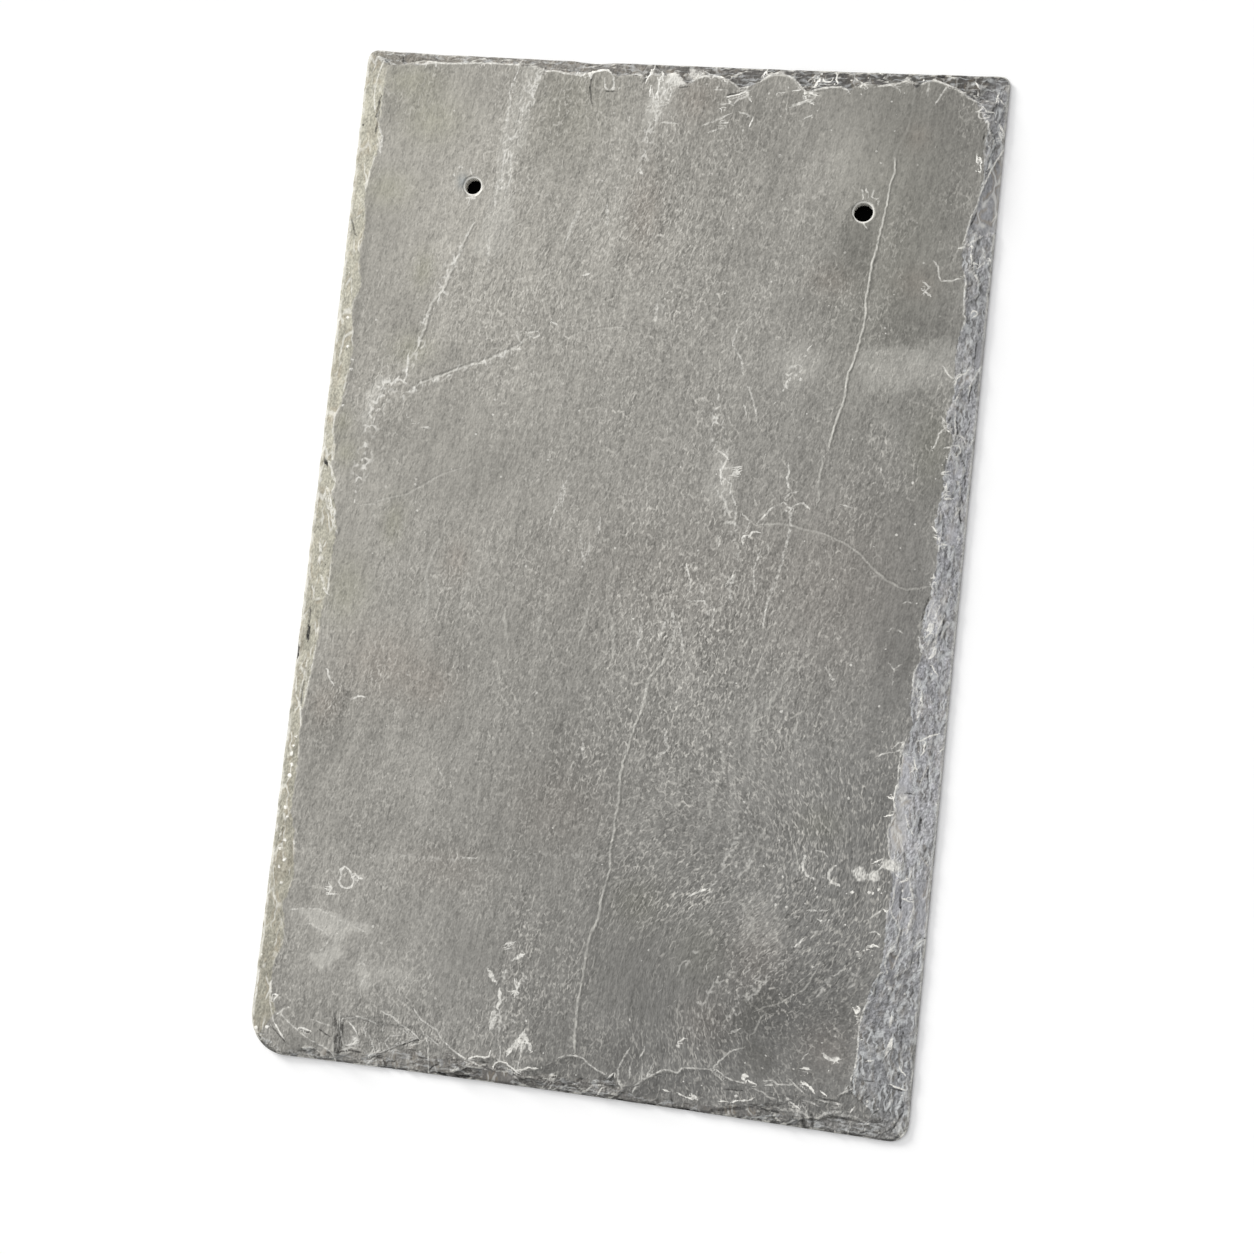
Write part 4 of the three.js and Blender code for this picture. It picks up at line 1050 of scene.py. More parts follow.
FACETS = (
    Facet(0.04, 0.3, -0.4, (-91.5, -181, -84, -181, -76, -182, -66, -182.5, -58, -186, -59, -199, -91, -199)),
    Facet(0.25, 0.7, 0.0, (-88.5, -188.5, -83, -188.6, -82.5, -192.5, -88.5, -193)),
    Facet(0.6, 0.7, 0.05, (
        -85, -189, -83, -188.7, -82.4, -190, -83.5, -191.4, -86.5, -192.6, -88, -192.2, -84.3, -190.7,
    )),
    Facet(0.2, 0.9, 0.0, (-99.5, -194.8, -95, -194.3, -94, -196.5, -95.5, -197.8, -98, -196.8)),
    Facet(-0.2, 0.85, -0.1, (
        48, -197.6, 52, -195.7, 60, -195.4, 66, -193.6, 72, -193.2, 72, -197, 60, -197.9,
    )),
    Facet(-0.22, 0.5, -0.1, (
        -73, -194, -66, -191, -58, -192.5, -47, -192, -44, -194, -46, -197.8, -72, -198,
    )),
    Facet(-0.2, 0.9, -0.1, (-33, -192.8, -28, -193.6, -22, -193.8, -20, -196, -22, -199, -33, -199)),
    Facet(-0.25, 0.5, -0.1, (20, -188.5, 25, -189, 25.5, -192, 20.5, -192.5)),
    Facet(0.0, 0.55, -0.15, (28, -190.5, 38, -185.3, 54, -183, 66, -186.2, 66, -192, 48, -192, 30, -192)),
    Facet(0.5, 0.6, 0.1, (-22.5, -184, -19.3, -180.7, -16.5, -184, -18.2, -185, -19.5, -184, -21, -186)),
    Facet(-0.15, 1.0, -0.4, (
        128, 170.8, 124, 163, 121.5, 156.5, 120, 150.5, 118.5, 145, 118, 140, 121, 137, 128, 139,
    )),
    Facet(-0.25, 1.0, -0.1, (124.3, 97, 128, 97, 128, 87, 124.5, 87)),
    Facet(0.05, 1.0, -0.2, (120, 84, 122.7, 84.5, 122.5, 80.5, 119.5, 80)),
    Facet(0.4, 0.6, 0.1, (115.5, 73, 119.5, 73.5, 119.3, 68, 115.8, 68)),
    Facet(-0.1, 1.0, -0.2, (120.3, 48, 123.3, 48, 123.3, 44, 120.5, 44)),
    Facet(-0.05, 1.0, -0.2, (120, 28, 124.5, 27, 124.5, 20, 120.5, 20)),
    Facet(0.3, 0.5, 0.0, (116.5, 1, 123, 0, 122, -7, 119.5, -14, 116, -14)),
    Facet(0.12, 0.95, -0.05, (112.3, -60, 116, -60, 116.5, -95, 111, -95, 110.5, -86, 112, -80)),
    Facet(0.0, 0.9, -0.1, (114.5, -106, 119.3, -104, 121.5, -114, 120.5, -121, 117.5, -122, 114.3, -117)),
    Facet(-0.2, 0.9, -0.2, (122, -104, 127.5, -104, 127.5, -122, 122, -122)),
    Facet(-0.35, 0.9, -0.2, (115, -131, 117.5, -133, 117, -144, 114.5, -144)),
    Facet(0.75, 0.3, 0.15, (98.1, -104.2, 100.3, -107.3, 103.9, -106.5, 103.2, -103.3, 100.8, -101.5)),
    Facet(0.75, 0.3, 0.15, (
        103.9, -104.3, 105.7, -102.6, 108, -103.4, 108.6, -105.9, 106.5, -107.3, 104.5, -106.5,
    )),
    Facet(0.7, 0.3, 0.1, (
        107.7, -100.9, 109.6, -98.1, 112.2, -98.2, 114.9, -99.3, 115.7, -100.7, 114.8, -102.6, 111.2, -102.3,
    )),
    Facet(-0.25, 0.3, -0.2, (-8, 194.3, 3, 195.5, 10, 195.5, 10, 198, -8, 198)),
    Facet(1.2, 0.9, 0.15, (
        -3.8, 193.3, -2.5, 195.2, -1, 195, 1, 193.5, 3, 191.8, 4.5, 190.6, 2, 190.2, 0.2, 189.7, -0.5, 191,
        -3.5, 190.7,
    )),
    Facet(0.6, 0.9, 0.1, (4, 193, 4, 196.5, 6, 197.2, 9.5, 197, 10.5, 195, 9.5, 193.5, 6, 192.8)),
)


SHAPED_STROKES = TAIL_STROKES + HEAD_STROKES + RIGHT_STROKES + LEFT_STROKES + HOLE_STROKES + FLECKS


def on_face_level(x: Array, y: Array, z: Array) -> tuple[Array, Array]:
    """Finds where points appear on the face's level, on which the marks are set out.

    Args:
        x: plan coordinate.
        y: plan coordinate.
        z: height.

    Returns:
        The plan coordinates where the line of sight from the viewpoint meets that level.
    """
    eye_x, eye_y, eye_z = (value / MM for value in Viewpoint.place)
    share = (eye_z - Relief.thickness) / (eye_z - z)
    return eye_x + (x - eye_x) * share, eye_y + (y - eye_y) * share


@dataclass(frozen=True)
class TraceField:
    """Distance to the nearest of some strokes, and how plainly that one shows.

    Attributes:
        signed: the distance in half widths, above 0 on the right of the stroke.
        away: the distance in millimetres.
        strength: from 0 to 1.
    """

    signed: Array
    away: Array
    strength: Array

    # Points further from a stretch than REACH aren't measured from it, and lie FAR off if they
    # are near none.
    FAR = 40.0
    REACH = 12.0

    @classmethod
    def of(cls, strokes: Sequence[Strokes], x: Array, y: Array) -> "TraceField":
        """Finds the nearest stroke to each point.

        Args:
            strokes: the strokes to choose from.
            x: the points' first coordinate.
            y: their second coordinate.

        Returns:
            How the points lie to the strokes.
        """
        away = np.full(x.shape, cls.FAR)
        signed = np.full(x.shape, cls.FAR)
        strength = np.zeros_like(x)
        for stroke in strokes:
            half = stroke.width / 2
            for route in stroke.routes:
                points = list(zip(route[::2], route[1::2]))
                for start, end in zip(points, points[1:] or points):
                    low_x, high_x = sorted((start[0], end[0]))
                    low_y, high_y = sorted((start[1], end[1]))
                    near = (x > low_x - cls.REACH) & (x < high_x + cls.REACH)
                    near &= (y > low_y - cls.REACH) & (y < high_y + cls.REACH)
                    distance, hand = distance_to_line(x[near], y[near], start, end)
                    reach = np.maximum(distance - half, 0.0)
                    closer = reach < away[near]
                    away[near] = np.where(closer, reach, away[near])
                    signed[near] = np.where(closer, distance * hand / half, signed[near])
                    strength[near] = np.where(closer, abs(stroke.shade), strength[near])
        return cls(signed, away, strength)

    def ridge(self) -> Array:
        """How high a worn ridge along the strokes stands, from 0 to 1."""
        return self.strength * np.clip(1.25 - 0.75 * np.abs(self.signed), 0.0, 1.0)


# ---------------------------------------------------------------- soft patches on the face


@dataclass(frozen=True)
class Patch:
    """A soft-edged patch: its centre, half sizes, strength and degrees of turn."""

    x: float
    y: float
    half_x: float
    half_y: float
    strength: float = 1.0
    turn: float = 0.0

    def cover(self, x: Array, y: Array) -> Array:
        """Finds how strongly the patch covers each point.

        Args:
            x: the points' first coordinate.
            y: their second coordinate.

        Returns:
            The patch's strength, fading to 0 away from its centre.
        """
        angle = math.radians(self.turn)
        dx, dy = x - self.x, y - self.y
        along = (dx * math.cos(angle) + dy * math.sin(angle)) / self.half_x
        across = (dy * math.cos(angle) - dx * math.sin(angle)) / self.half_y
        return self.strength * np.exp(-(along**2) - across**2)


@dataclass(frozen=True)
class Swirl:
    """A place where the grain turns about a centre, most at the centre and not at all at its reach."""

    x: float
    y: float
    reach: float
    turn: float

    def bend(self, x: Array, y: Array) -> tuple[Array, Array]:
        """Finds where the pattern of each point is taken from.

        Args:
            x: the points' first coordinate.
            y: their second coordinate.

        Returns:
            The coordinates turned about the centre.
        """
        dx, dy = x - self.x, y - self.y
        angle = math.radians(self.turn) * smoothstep(np.hypot(dx, dy), self.reach, 0.0)
        cos, sin = np.cos(angle), np.sin(angle)
        return self.x + dx * cos - dy * sin, self.y + dx * sin + dy * cos


@dataclass(frozen=True)
class WeatheringAndShade:
    """How the face weathered from place to place, and where light and shade are painted on it.

    Attributes:
        light: the clean face's colour at the upper left, paler there partly from painted light.
        dark: its colour at the lower right, darker there partly from painted shade.
        moss: cast of the mossy patches.
        rust: cast of the ruddy ones.
        calm: how lively the grain is away from the lively patches.
        lively_range: the least and the most lively that it gets.
        stain_range: the palest and the darkest that stains make it.
        paling_and_falloff: how much of its lighter colour it gains a millimetre, along X and Y, partly
            painted light.
        dusty: where pale dust lies.
        stained: where the face is darker, or paler below 0.
        mossy: where it is a little greener.
        ruddy: where it is a little warmer.
        lively: where its grain is livelier, or calmer below 0.
        crumbly: where bright crumbs lie thickest.
        bruised_and_shaded: where a nail hole's mouth is bruised and the shade of its seat's wall is painted.
        swirls: where its grain turns.
    """

    light: str = "#a6a39b"
    dark: str = "#807f7c"
    moss: str = "#fdfef6"
    rust: str = "#fffbf9"
    calm: float = 0.8
    lively_range: tuple[float, float] = (0.35, 1.4)
    stain_range: tuple[float, float] = (-0.4, 0.6)
    paling_and_falloff: tuple[float, float] = (-0.0032, 0.0019)
    dusty: tuple[Patch, ...] = (
        Patch(97, 84, 18, 8, 0.3, 4), Patch(58, 84, 9, 9, 0.3), Patch(-97, -151, 17, 11, 0.35, -20),
        Patch(-78, -164, 18, 8, 0.35, 8), Patch(35, 38, 6, 10, 0.5), Patch(-4, 182, 8, 12, 0.5, 10),
        Patch(-20, 165, 14, 22, 0.2, 20),
    )
    stained: tuple[Patch, ...] = (
        Patch(-112, 175, 8, 8, 0.16), Patch(-45, 178, 12, 24, 0.22), Patch(-72, 185, 5, 12, 0.12),
        Patch(24, 178, 24, 16, 0.2), Patch(74, 128, 8, 12, 0.2, 10), Patch(102, 100, 16, 8, 0.15, 10),
        Patch(100, 150, 24, 60, 0.2), Patch(112, 182, 12, 22, 0.16), Patch(-20, 193, 110, 13, 0.07),
        Patch(78, 190, 46, 16, 0.08), Patch(0, -150, 60, 40, 0.09), Patch(10, -5, 50, 50, 0.04),
        Patch(0, -192, 45, 8, 0.06), Patch(-70, -120, 50, 60, -0.03), Patch(-7, 140, 5, 16, 0.08),
        Patch(112, 55, 8, 14, 0.12), Patch(-98, 46, 10, 6, 0.14), Patch(-60, 30, 25, 6, 0.06, 20),
        Patch(-62, -44, 10, 8, 0.1), Patch(-15, -75, 24, 28, 0.13), Patch(10, -90, 20, 25, 0.06),
        Patch(-60, -112, 40, 4, 0.06), Patch(-104, -72, 18, 18, 0.13), Patch(-60, -110, 50, 12, 0.05),
        Patch(-100, -182, 14, 5, 0.1), Patch(-75, -174, 20, 4, 0.08), Patch(68, -163, 12, 15, 0.14, -10),
        Patch(78, -165, 14, 20, 0.1), Patch(92, -156, 20, 16, 0.16), Patch(100, -150, 8, 12, 0.1),
        Patch(19, -182, 12, 7, 0.2), Patch(50, -178, 14, 6, 0.06), Patch(20, -125, 8, 6, 0.06),
        Patch(85, -90, 8, 5, 0.06), Patch(15, -62, 4, 5, 0.1), Patch(110, -10, 6, 20, 0.12),
        Patch(95, 30, 16, 20, 0.05), Patch(45, 46, 8, 8, 0.08), Patch(66, 160, 14, 16, -0.14),
        Patch(45, 172, 6, 8, -0.06), Patch(62, 128, 8, 6, -0.08), Patch(-14, 10, 5, 9, -0.1),
        Patch(65, -45, 9, 26, -0.05, -8), Patch(68, -124, 15, 14, -0.08), Patch(-70, -150, 50, 30, -0.08),
        Patch(-30, 120, 30, 24, -0.05, 30), Patch(-85, 150, 30, 40, -0.07), Patch(40, -140, 60, 50, 0.11),
        Patch(30, 140, 50, 40, 0.04), Patch(-61, 178, 6, 20, 0.08), Patch(0, 178, 12, 14, 0.06),
        Patch(-21, 108, 14, 14, 0.06), Patch(76, 100, 30, 12, 0.05), Patch(106, -88, 9, 40, 0.13),
        Patch(-8, -180, 14, 10, 0.08), Patch(94, -184, 14, 8, 0.08), Patch(-104, -122, 12, 12, -0.06),
        Patch(-90, -100, 24, 30, -0.03),
    )
    mossy: tuple[Patch, ...] = (
        Patch(-107, 187, 13, 7), Patch(-97, 172, 12, 9), Patch(-112, 143, 10, 7), Patch(-93, 111, 4, 7),
        Patch(-94, 79, 8, 6), Patch(-119, 48, 4, 5), Patch(-116, 36, 5, 5), Patch(-93, 10, 4, 8),
        Patch(-110, -18, 9, 12), Patch(90, 130, 24, 60, 0.4), Patch(112, 55, 8, 16, 0.7),
        Patch(-40, 180, 16, 20, 0.4), Patch(20, -125, 9, 8, 0.7), Patch(85, -88, 8, 6, 0.7),
        Patch(45, -140, 10, 12, 0.5),
    )
    ruddy: tuple[Patch, ...] = (
        Patch(-90, -45, 18, 14), Patch(-66, -2, 5, 8), Patch(-70, -52, 9, 8), Patch(100, 118, 8, 6),
        Patch(95, 174, 5, 5), Patch(68, 117, 8, 6), Patch(-7, 140, 6, 16), Patch(8, 185, 8, 8),
        Patch(30, 0, 60, 30, 0.4), Patch(-15, -92, 18, 16, 0.6), Patch(66, -140, 11, 14),
        Patch(95, -169, 10, 9), Patch(50, -165, 9, 9), Patch(-55, -120, 16, 8, 0.6),
        Patch(85, 0, 26, 40, 0.6), Patch(-112, -64, 6, 7),
    )
    lively: tuple[Patch, ...] = (
        Patch(2, 130, 34, 62, 0.22), Patch(-108, 140, 14, 52, -0.3), Patch(86, 172, 30, 30, -0.38),
        Patch(35, -20, 42, 50, 0.26), Patch(84, -130, 44, 70, 0.2), Patch(106, -20, 14, 60, -0.22),
        Patch(100, 120, 16, 20, -0.25), Patch(-70, 35, 40, 18, -0.18), Patch(30, -150, 22, 18, -0.15),
        Patch(-52, -150, 18, 16, -0.2), Patch(-58, 100, 26, 22, 0.22), Patch(-105, 60, 9, 10, 0.35),
        Patch(-105, -58, 8, 10, 0.3), Patch(-60, -184, 30, 9, 0.3), Patch(-22, -165, 9, 26, 0.3),
        Patch(-84, 180, 13, 16, -0.2), Patch(42, -120, 7, 6, 0.3), Patch(-62, 170, 6, 30, 0.25),
        Patch(-105, 0, 16, 40, -0.15), Patch(88, -172, 18, 15, -0.3), Patch(24, -60, 26, 46, 0.12),
    )
    crumbly: tuple[Patch, ...] = (
        Patch(104, -104, 9, 6, 0.3, 20), Patch(42, -117, 4, 3, 0.4), Patch(-19, -182, 5, 5, 0.3),
        Patch(-28, -168, 3, 9, 0.3), Patch(67, -183, 3, 2.5, 0.3), Patch(84, -133, 4, 3, 0.3),
        Patch(121, 170, 5, 22, 0.35), Patch(65, 191, 40, 7, 0.3), Patch(118, -60, 8, 60, 0.16),
        Patch(90, -182, 20, 9, 0.12), Patch(92, -128, 20, 24, 0.1), Patch(70, -60, 60, 120, 0.03),
    )
    # Painted shade: this bluish patch at the upper left of the left nail hole is bruised stone and the shade
    # of the seat's wall there.
    bruised_and_shaded: tuple[Patch, ...] = (Patch(-81.3, 147.5, 1.8, 3.0, 0.6),)
    swirls: tuple[Swirl, ...] = (Swirl(62, -128, 72, 32), Swirl(-20, 130, 60, 8))

    @staticmethod
    def _sum(patches: tuple[Patch, ...], x: Array, y: Array, start: float = 0.0) -> Array:
        """Adds up how strongly some patches cover each point."""
        return sum((patch.cover(x, y) for patch in patches), np.full(x.shape, start))

    def covers(self, x: Array, y: Array) -> dict[str, Array]:
        """How far dust, crumbs, and bruises with painted shade cover each point, from 0 to 1, by what the
        mesh calls them.
        """
        kinds = {"dust": self.dusty, "crumbs": self.crumbly, "bruise_and_shade": self.bruised_and_shaded}
        return {label: np.clip(self._sum(patches, x, y), 0.0, 1.0) for label, patches in kinds.items()}

    def liveliness(self, x: Array, y: Array) -> Array:
        """How lively the grain is at each point."""
        return np.clip(self._sum(self.lively, x, y, self.calm), *self.lively_range)

    def flow(self, x: Array, y: Array) -> tuple[Array, Array]:
        """Where the grain of each point is taken from."""
        return functools.reduce(lambda place, swirl: swirl.bend(*place), self.swirls, (x, y))

    def tint(self, x: Array, y: Array) -> Array:
        """Finds the face's broad tone, pale and warm at the upper left and dark at the lower right, partly
        its own tone and partly painted light from the upper left.

        Args:
            x: the points' first coordinate.
            y: their second coordinate.

        Returns:
            A linear colour for each point.
        """
        # Painted light and shade: part of this gradient, pale at the upper left and dark at the lower right,
        # stands in for light falling off across the face.
        share = np.clip(0.5 + self.paling_and_falloff[0] * x + self.paling_and_falloff[1] * y, 0.0, 1.0)[:, None]
        tint = (1 - share) * np.array(linear(self.dark)) + share * np.array(linear(self.light))
        for patches, cast in ((self.mossy, self.moss), (self.ruddy, self.rust)):
            cover = np.clip(self._sum(patches, x, y), 0.0, 1.0)[:, None]
            tint = tint * (1.0 - cover + cover * np.array(linear(cast)))
        return tint * (1.0 - np.clip(self._sum(self.stained, x, y), *self.stain_range))[:, None]


# ---------------------------------------------------------------- the sheet's two faces


@dataclass(frozen=True)
class Surface:
    """What the relief gives for each point of the weather side.

    Attributes:
        height: height above the ground.
        climb: where it lies on the bevel.
        broken: how far beyond the border of the broken stone it is, below 0 on the whole face.
        seen: where it appears on the face's level.
        tone: chance tone of its flakes, more where they are loose.
        seam: distance to the nearest seam between flakes.
        facet: tone of the flake's bed or chip that it is in.
        loose: how loose the flakes are, from 0 to about 1.
        pale: the pale strokes about it.
        dark: the dark strokes about it.
    """

    height: Array
    climb: Climb
    broken: Array
    seen: tuple[Array, Array]
    tone: Array
    seam: Array
    facet: Array
    loose: Array
    pale: TraceField
    dark: TraceField


@dataclass(frozen=True)
class FlakeLayer:
    """A generation of flakes on the dressed edges.

    Attributes:
        length: typical length along the edge.
        width: typical width across it.
        jitter: how far they stand above or below the slope.
        kept: how much of them stays level instead of following the slope.
        outlined: whether their seams show as lines.
    """

    length: float
    width: float
    jitter: float
    kept: float
    outlined: bool


@dataclass
class Relief:
    """Heights of the weather face and the back over the plan.

    Attributes:
        outline: the sheet's plan.
        holes: its nail holes.
        thickness: of the sheet.
        thinnest: the least height that is left of it.
        rim_height: height of the cut line above the back.
        rim_share: share of the bevel that the cut line takes.
        left_lift: how much higher the lighter dressed left edge is cut.
        left_zone: how far left of the middle that starts, and where it is in full.
        swell: depth, width and length of the broad undulations.
        ripple: the same of the riven ripples.
        back_hollow: the same of the hollows in the back.
        ragged: how far the borders of beds stray, and the size of their waves.
        tears: the same of the border between torn and split stone.
        chatter: height and size of the finest breaks of the dressed edges.
        lip: how deep the broken stone starts below the face.
        ridge: height of the pale ridges.
        crevice: depth of the dark crevices.
        spalled: how much of a nail hole's seat has spalled to its full depth.
        layers: the flakes of the dressed edges, coarse to fine.
        grain: the chance in the stone.
    """

    outline: Outline
    holes: tuple[NailHole, ...]
    thickness: float = STONE_THICKNESS
    thinnest: float = 0.4
    rim_height: float = 1.7
    rim_share: float = 0.03
    left_lift: float = 1.0
    left_zone: tuple[float, float] = (95.0, 121.0)
    swell: tuple[float, float, float] = (0.16, 90.0, 130.0)
    ripple: tuple[float, float, float] = (0.07, 7.0, 24.0)
    back_hollow: tuple[float, float, float] = (0.12, 40.0, 70.0)
    ragged: tuple[float, float] = (0.9, 1.8)
    tears: tuple[float, float] = (1.5, 4.0)
    chatter: tuple[float, float] = (0.09, 1.7)
    lip: float = 0.2
    ridge: float = 0.2
    crevice: float = 0.4
    spalled: float = 0.55
    layers: tuple[FlakeLayer, ...] = (
        FlakeLayer(length=24.0, width=7.0, jitter=0.17, kept=0.35, outlined=False),
        FlakeLayer(length=9.0, width=3.0, jitter=0.13, kept=0.3, outlined=True),
        FlakeLayer(length=4.0, width=1.6, jitter=0.08, kept=0.25, outlined=True),
    )
    grain: Grain = field(default_factory=lambda: Grain(41))

    # The distance to a seam where there is none.
    NO_SEAM = 9.0

    def face(self, x: Array, y: Array) -> Array:
        """Finds the height of the riven weather face before its edges are dressed.

        Args:
            x: plan coordinate.
            y: plan coordinate.

        Returns:
            The height at each point.
        """
        swell_depth, swell_width, swell_length = self.swell
        ripple_depth, ripple_width, ripple_length = self.ripple
        swell = 0.5 + 0.35 * self.grain.fractal(x / swell_width + 3, y / swell_length, 2)
        ripple = 0.5 + 0.4 * self.grain.fractal(x / ripple_width + 0.02 * y, y / ripple_length, 3)
        return self.thickness - (swell_depth * np.clip(swell, 0, 1) + ripple_depth * np.clip(ripple, 0, 1))

    def _slope(self, x: Array, y: Array) -> Array:
        """Height of the plain bevel, running on above the face past the arris."""
        rim = self._rim(x)
        return rim + np.maximum(self.outline.climb(x, y).share, 0.0) * (self.thickness - rim)

    def _rim(self, x: Array) -> Array:
        """Height of the cut line, which is lighter dressed at the left."""
        return self.rim_height + self.left_lift * smoothstep(-x, *self.left_zone)

    def _beds(self, x: Array, y: Array) -> tuple[Array, Array, Array]:
        """Works out the flakes' beds and chips, with ragged borders.

        Args:
            x: the points' first coordinate on the face's level.
            y: their second coordinate.

        Returns:
            Their tone, how calm they are, and how far they rise.
        """
        stray, size = self.ragged
        ragged_x = x + stray * self.grain.fractal(x / size, y / size, 2)
        ragged_y = y + stray * self.grain.fractal(x / size + 50, y / size, 2)
        tone, calm, rise = np.zeros_like(x), np.zeros_like(x), np.zeros_like(x)
        for bed in FACETS:
            cover = bed.cover(ragged_x, ragged_y)
            tone += bed.tone * cover
            calm = np.maximum(calm, bed.calm * cover)
            rise += bed.rise * cover
        return tone, calm, rise

    def _generation(
        self, x: Array, y: Array, along_x: bool, layer: FlakeLayer, grain: Grain
    ) -> tuple[Array, Array, Array]:
        """Works out one generation of flakes.

        Args:
            x: plan coordinate.
            y: plan coordinate.
            along_x: whether the edge runs along X.
            layer: the flakes' size and unevenness.
            grain: pattern that places them.

        Returns:
            Height above the plain slope, the flakes' chance tone and the distance to a seam.
        """
        long, wide = layer.length, layer.width
        bend = 0.9 * wide * grain.fractal(x / wide * 0.4, y / wide * 0.4, 2)
        if along_x:
            u, v = (x + bend) / long, (y + bend) / wide
        else:
            u, v = (y + bend) / long, (x + bend) / wide
        cells = grain.cells(u, v)
        off_long = (cells.seed_u - u) * long
        off_wide = (cells.seed_v - v) * wide
        seed_x = x + (off_long if along_x else off_wide)
        seed_y = y + (off_wide if along_x else off_long)
        level = self._slope(seed_x, seed_y) - self._slope(x, y)
        height = layer.kept * level + layer.jitter * cells.chance[1]
        return height, cells.chance[0], cells.gap * wide * 0.5

    def _flakes(self, x: Array, y: Array, along_x: Array) -> tuple[Array, Array, Array]:
        """Works out all generations of flakes together.

        Args:
            x: plan coordinate.
            y: plan coordinate.
            along_x: whether the nearest edge runs along X.

        Returns:
            Height above the plain slope, the flakes' mean tone and the distance to a seam.
        """
        added, tone = np.zeros_like(x), np.zeros_like(x)
        seam = np.full(x.shape, self.NO_SEAM)
        for number, layer in enumerate(self.layers):
            grain = Grain(7 + 6 * number)
            lying = self._generation(x, y, True, layer, grain)
            standing = self._generation(x, y, False, layer, grain)
            height, chance, gap = (np.where(along_x, a, b) for a, b in zip(lying, standing))
            added += height
            tone += chance / len(self.layers)
            if layer.outlined:
                seam = np.minimum(seam, gap)
        return added, tone, seam

    def weather(self, x: Array, y: Array) -> Surface:
        """Works out the weather side.

        Args:
            x: plan coordinate.
            y: plan coordinate.

        Returns:
            The height of each point and what dresses it.
        """
        face = self.face(x, y)
        climb = self.outline.climb(x, y)
        slope = self._slope(x, y)
        facet, calm, rise = self._beds(*on_face_level(x, y, np.minimum(slope, face)))
        added, tone, seam = self._flakes(x, y, climb.along_x)
        roughness = np.array([self.outline.dressings[side].roughness for side in Side])[climb.nearest]
        stray, size = self.tears
        tears = climb.torn + stray * self.grain.fractal(x / size, y / size, 2) - climb.inset
        loose = roughness * (1.0 - calm) * (0.12 + 0.88 * smoothstep(tears, -0.8, 0.8))
        proud, size = self.chatter
        chatter = proud * loose * self.grain.fractal(x / size, y / size, 2)
        inner = smoothstep(climb.beyond, -0.4, 2.0)
        riser = self.lip * roughness * smoothstep(climb.beyond, -0.2, 0.7)
        height = np.minimum(face, slope + loose * added * inner + chatter + rise - riser)
        rim = self._rim(x) * (0.85 + 0.3 * self.grain.fractal(x / 9, y / 9, 2))
        height = np.where(climb.share < self.rim_share, np.minimum(height, rim), height)
        seen = on_face_level(x, y, height)
        pale = TraceField.of([strokes for strokes in SHAPED_STROKES if strokes.shade > 0], *seen)
        dark = TraceField.of([strokes for strokes in SHAPED_STROKES if strokes.shade < 0], *seen)
        height = height + self.ridge * pale.ridge() * smoothstep(climb.beyond, -3.0, 1.0)
        height = height - self.crevice * dark.ridge()
        for hole in self.holes:
            height = height - self._seat_depth(hole, x, y)
        height = np.clip(height, self.thinnest, self.thickness)
        broken = np.minimum(climb.beyond, tears)
        return Surface(height, climb, broken, seen, tone * loose, seam, facet, loose, pale, dark)

    def _seat_depth(self, hole: NailHole, x: Array, y: Array) -> Array:
        """Finds how far a nail hole's spalled seat lowers the face.

        Args:
            hole: the nail hole.
            x: plan coordinate.
            y: plan coordinate.

        Returns:
            The seat's depth at each point.
        """
        dx, dy = x - hole.x, y - hole.y
        angle = np.arctan2(dy, dx)
        ragged = 0.22 * self.grain.noise(3 + 1.4 * np.cos(angle), hole.x + 1.4 * np.sin(angle))
        seat = hole.seat / 2 * (1.0 + 0.35 * ragged)
        share = (seat - np.hypot(dx, dy)) / (seat - hole.bore / 2)
        return self.spalled * hole.seat_depth * smoothstep(share, 0.0, 0.6)

    def back(self, x: Array, y: Array) -> Array:
        """Finds the height of the back above what the tile is laid on.

        Args:
            x: plan coordinate.
            y: plan coordinate.

        Returns:
            The height at each point, which is 0 along the cut line.
        """
        depth, width, length = self.back_hollow
        hollow = depth * np.clip(0.4 + 0.5 * self.grain.fractal(x / width - 7, y / length, 3), 0, 1)
        return hollow * smoothstep(self.outline.climb(x, y).share, 0.0, 1.5)


# ---------------------------------------------------------------- colours and materials


def linear(colour: str) -> tuple[float, float, float, float]:
    """Turns an sRGB hex colour such as "#9a9791" to linear values with alpha 1."""
    channels = [int(colour[start : start + 2], 16) / 255 for start in (1, 3, 5)]
    return (*[c / 12.92 if c <= 0.04045 else ((c + 0.055) / 1.055) ** 2.4 for c in channels], 1.0)


def add(
    tree: bpy.types.NodeTree,
    kind: str,
    inputs: dict[str | int, object] | None = None,
    **settings: object,
) -> bpy.types.Node:
    """Adds a shader node.

    Args:
        tree: the node tree to add to.
        kind: the node's type, without its ShaderNode prefix.
        inputs: for each input, by name or number, a value or the socket that feeds it.
        **settings: the node's own properties.

    Returns:
        The new node.
    """
    node = tree.nodes.new("ShaderNode" + kind)
    for name, value in settings.items():
        setattr(node, name, value)
    for key, value in (inputs or {}).items():
        socket = node.inputs[key]
        if isinstance(value, Socket):
            tree.links.new(value, socket)
        else:
            socket.default_value = value
    return node


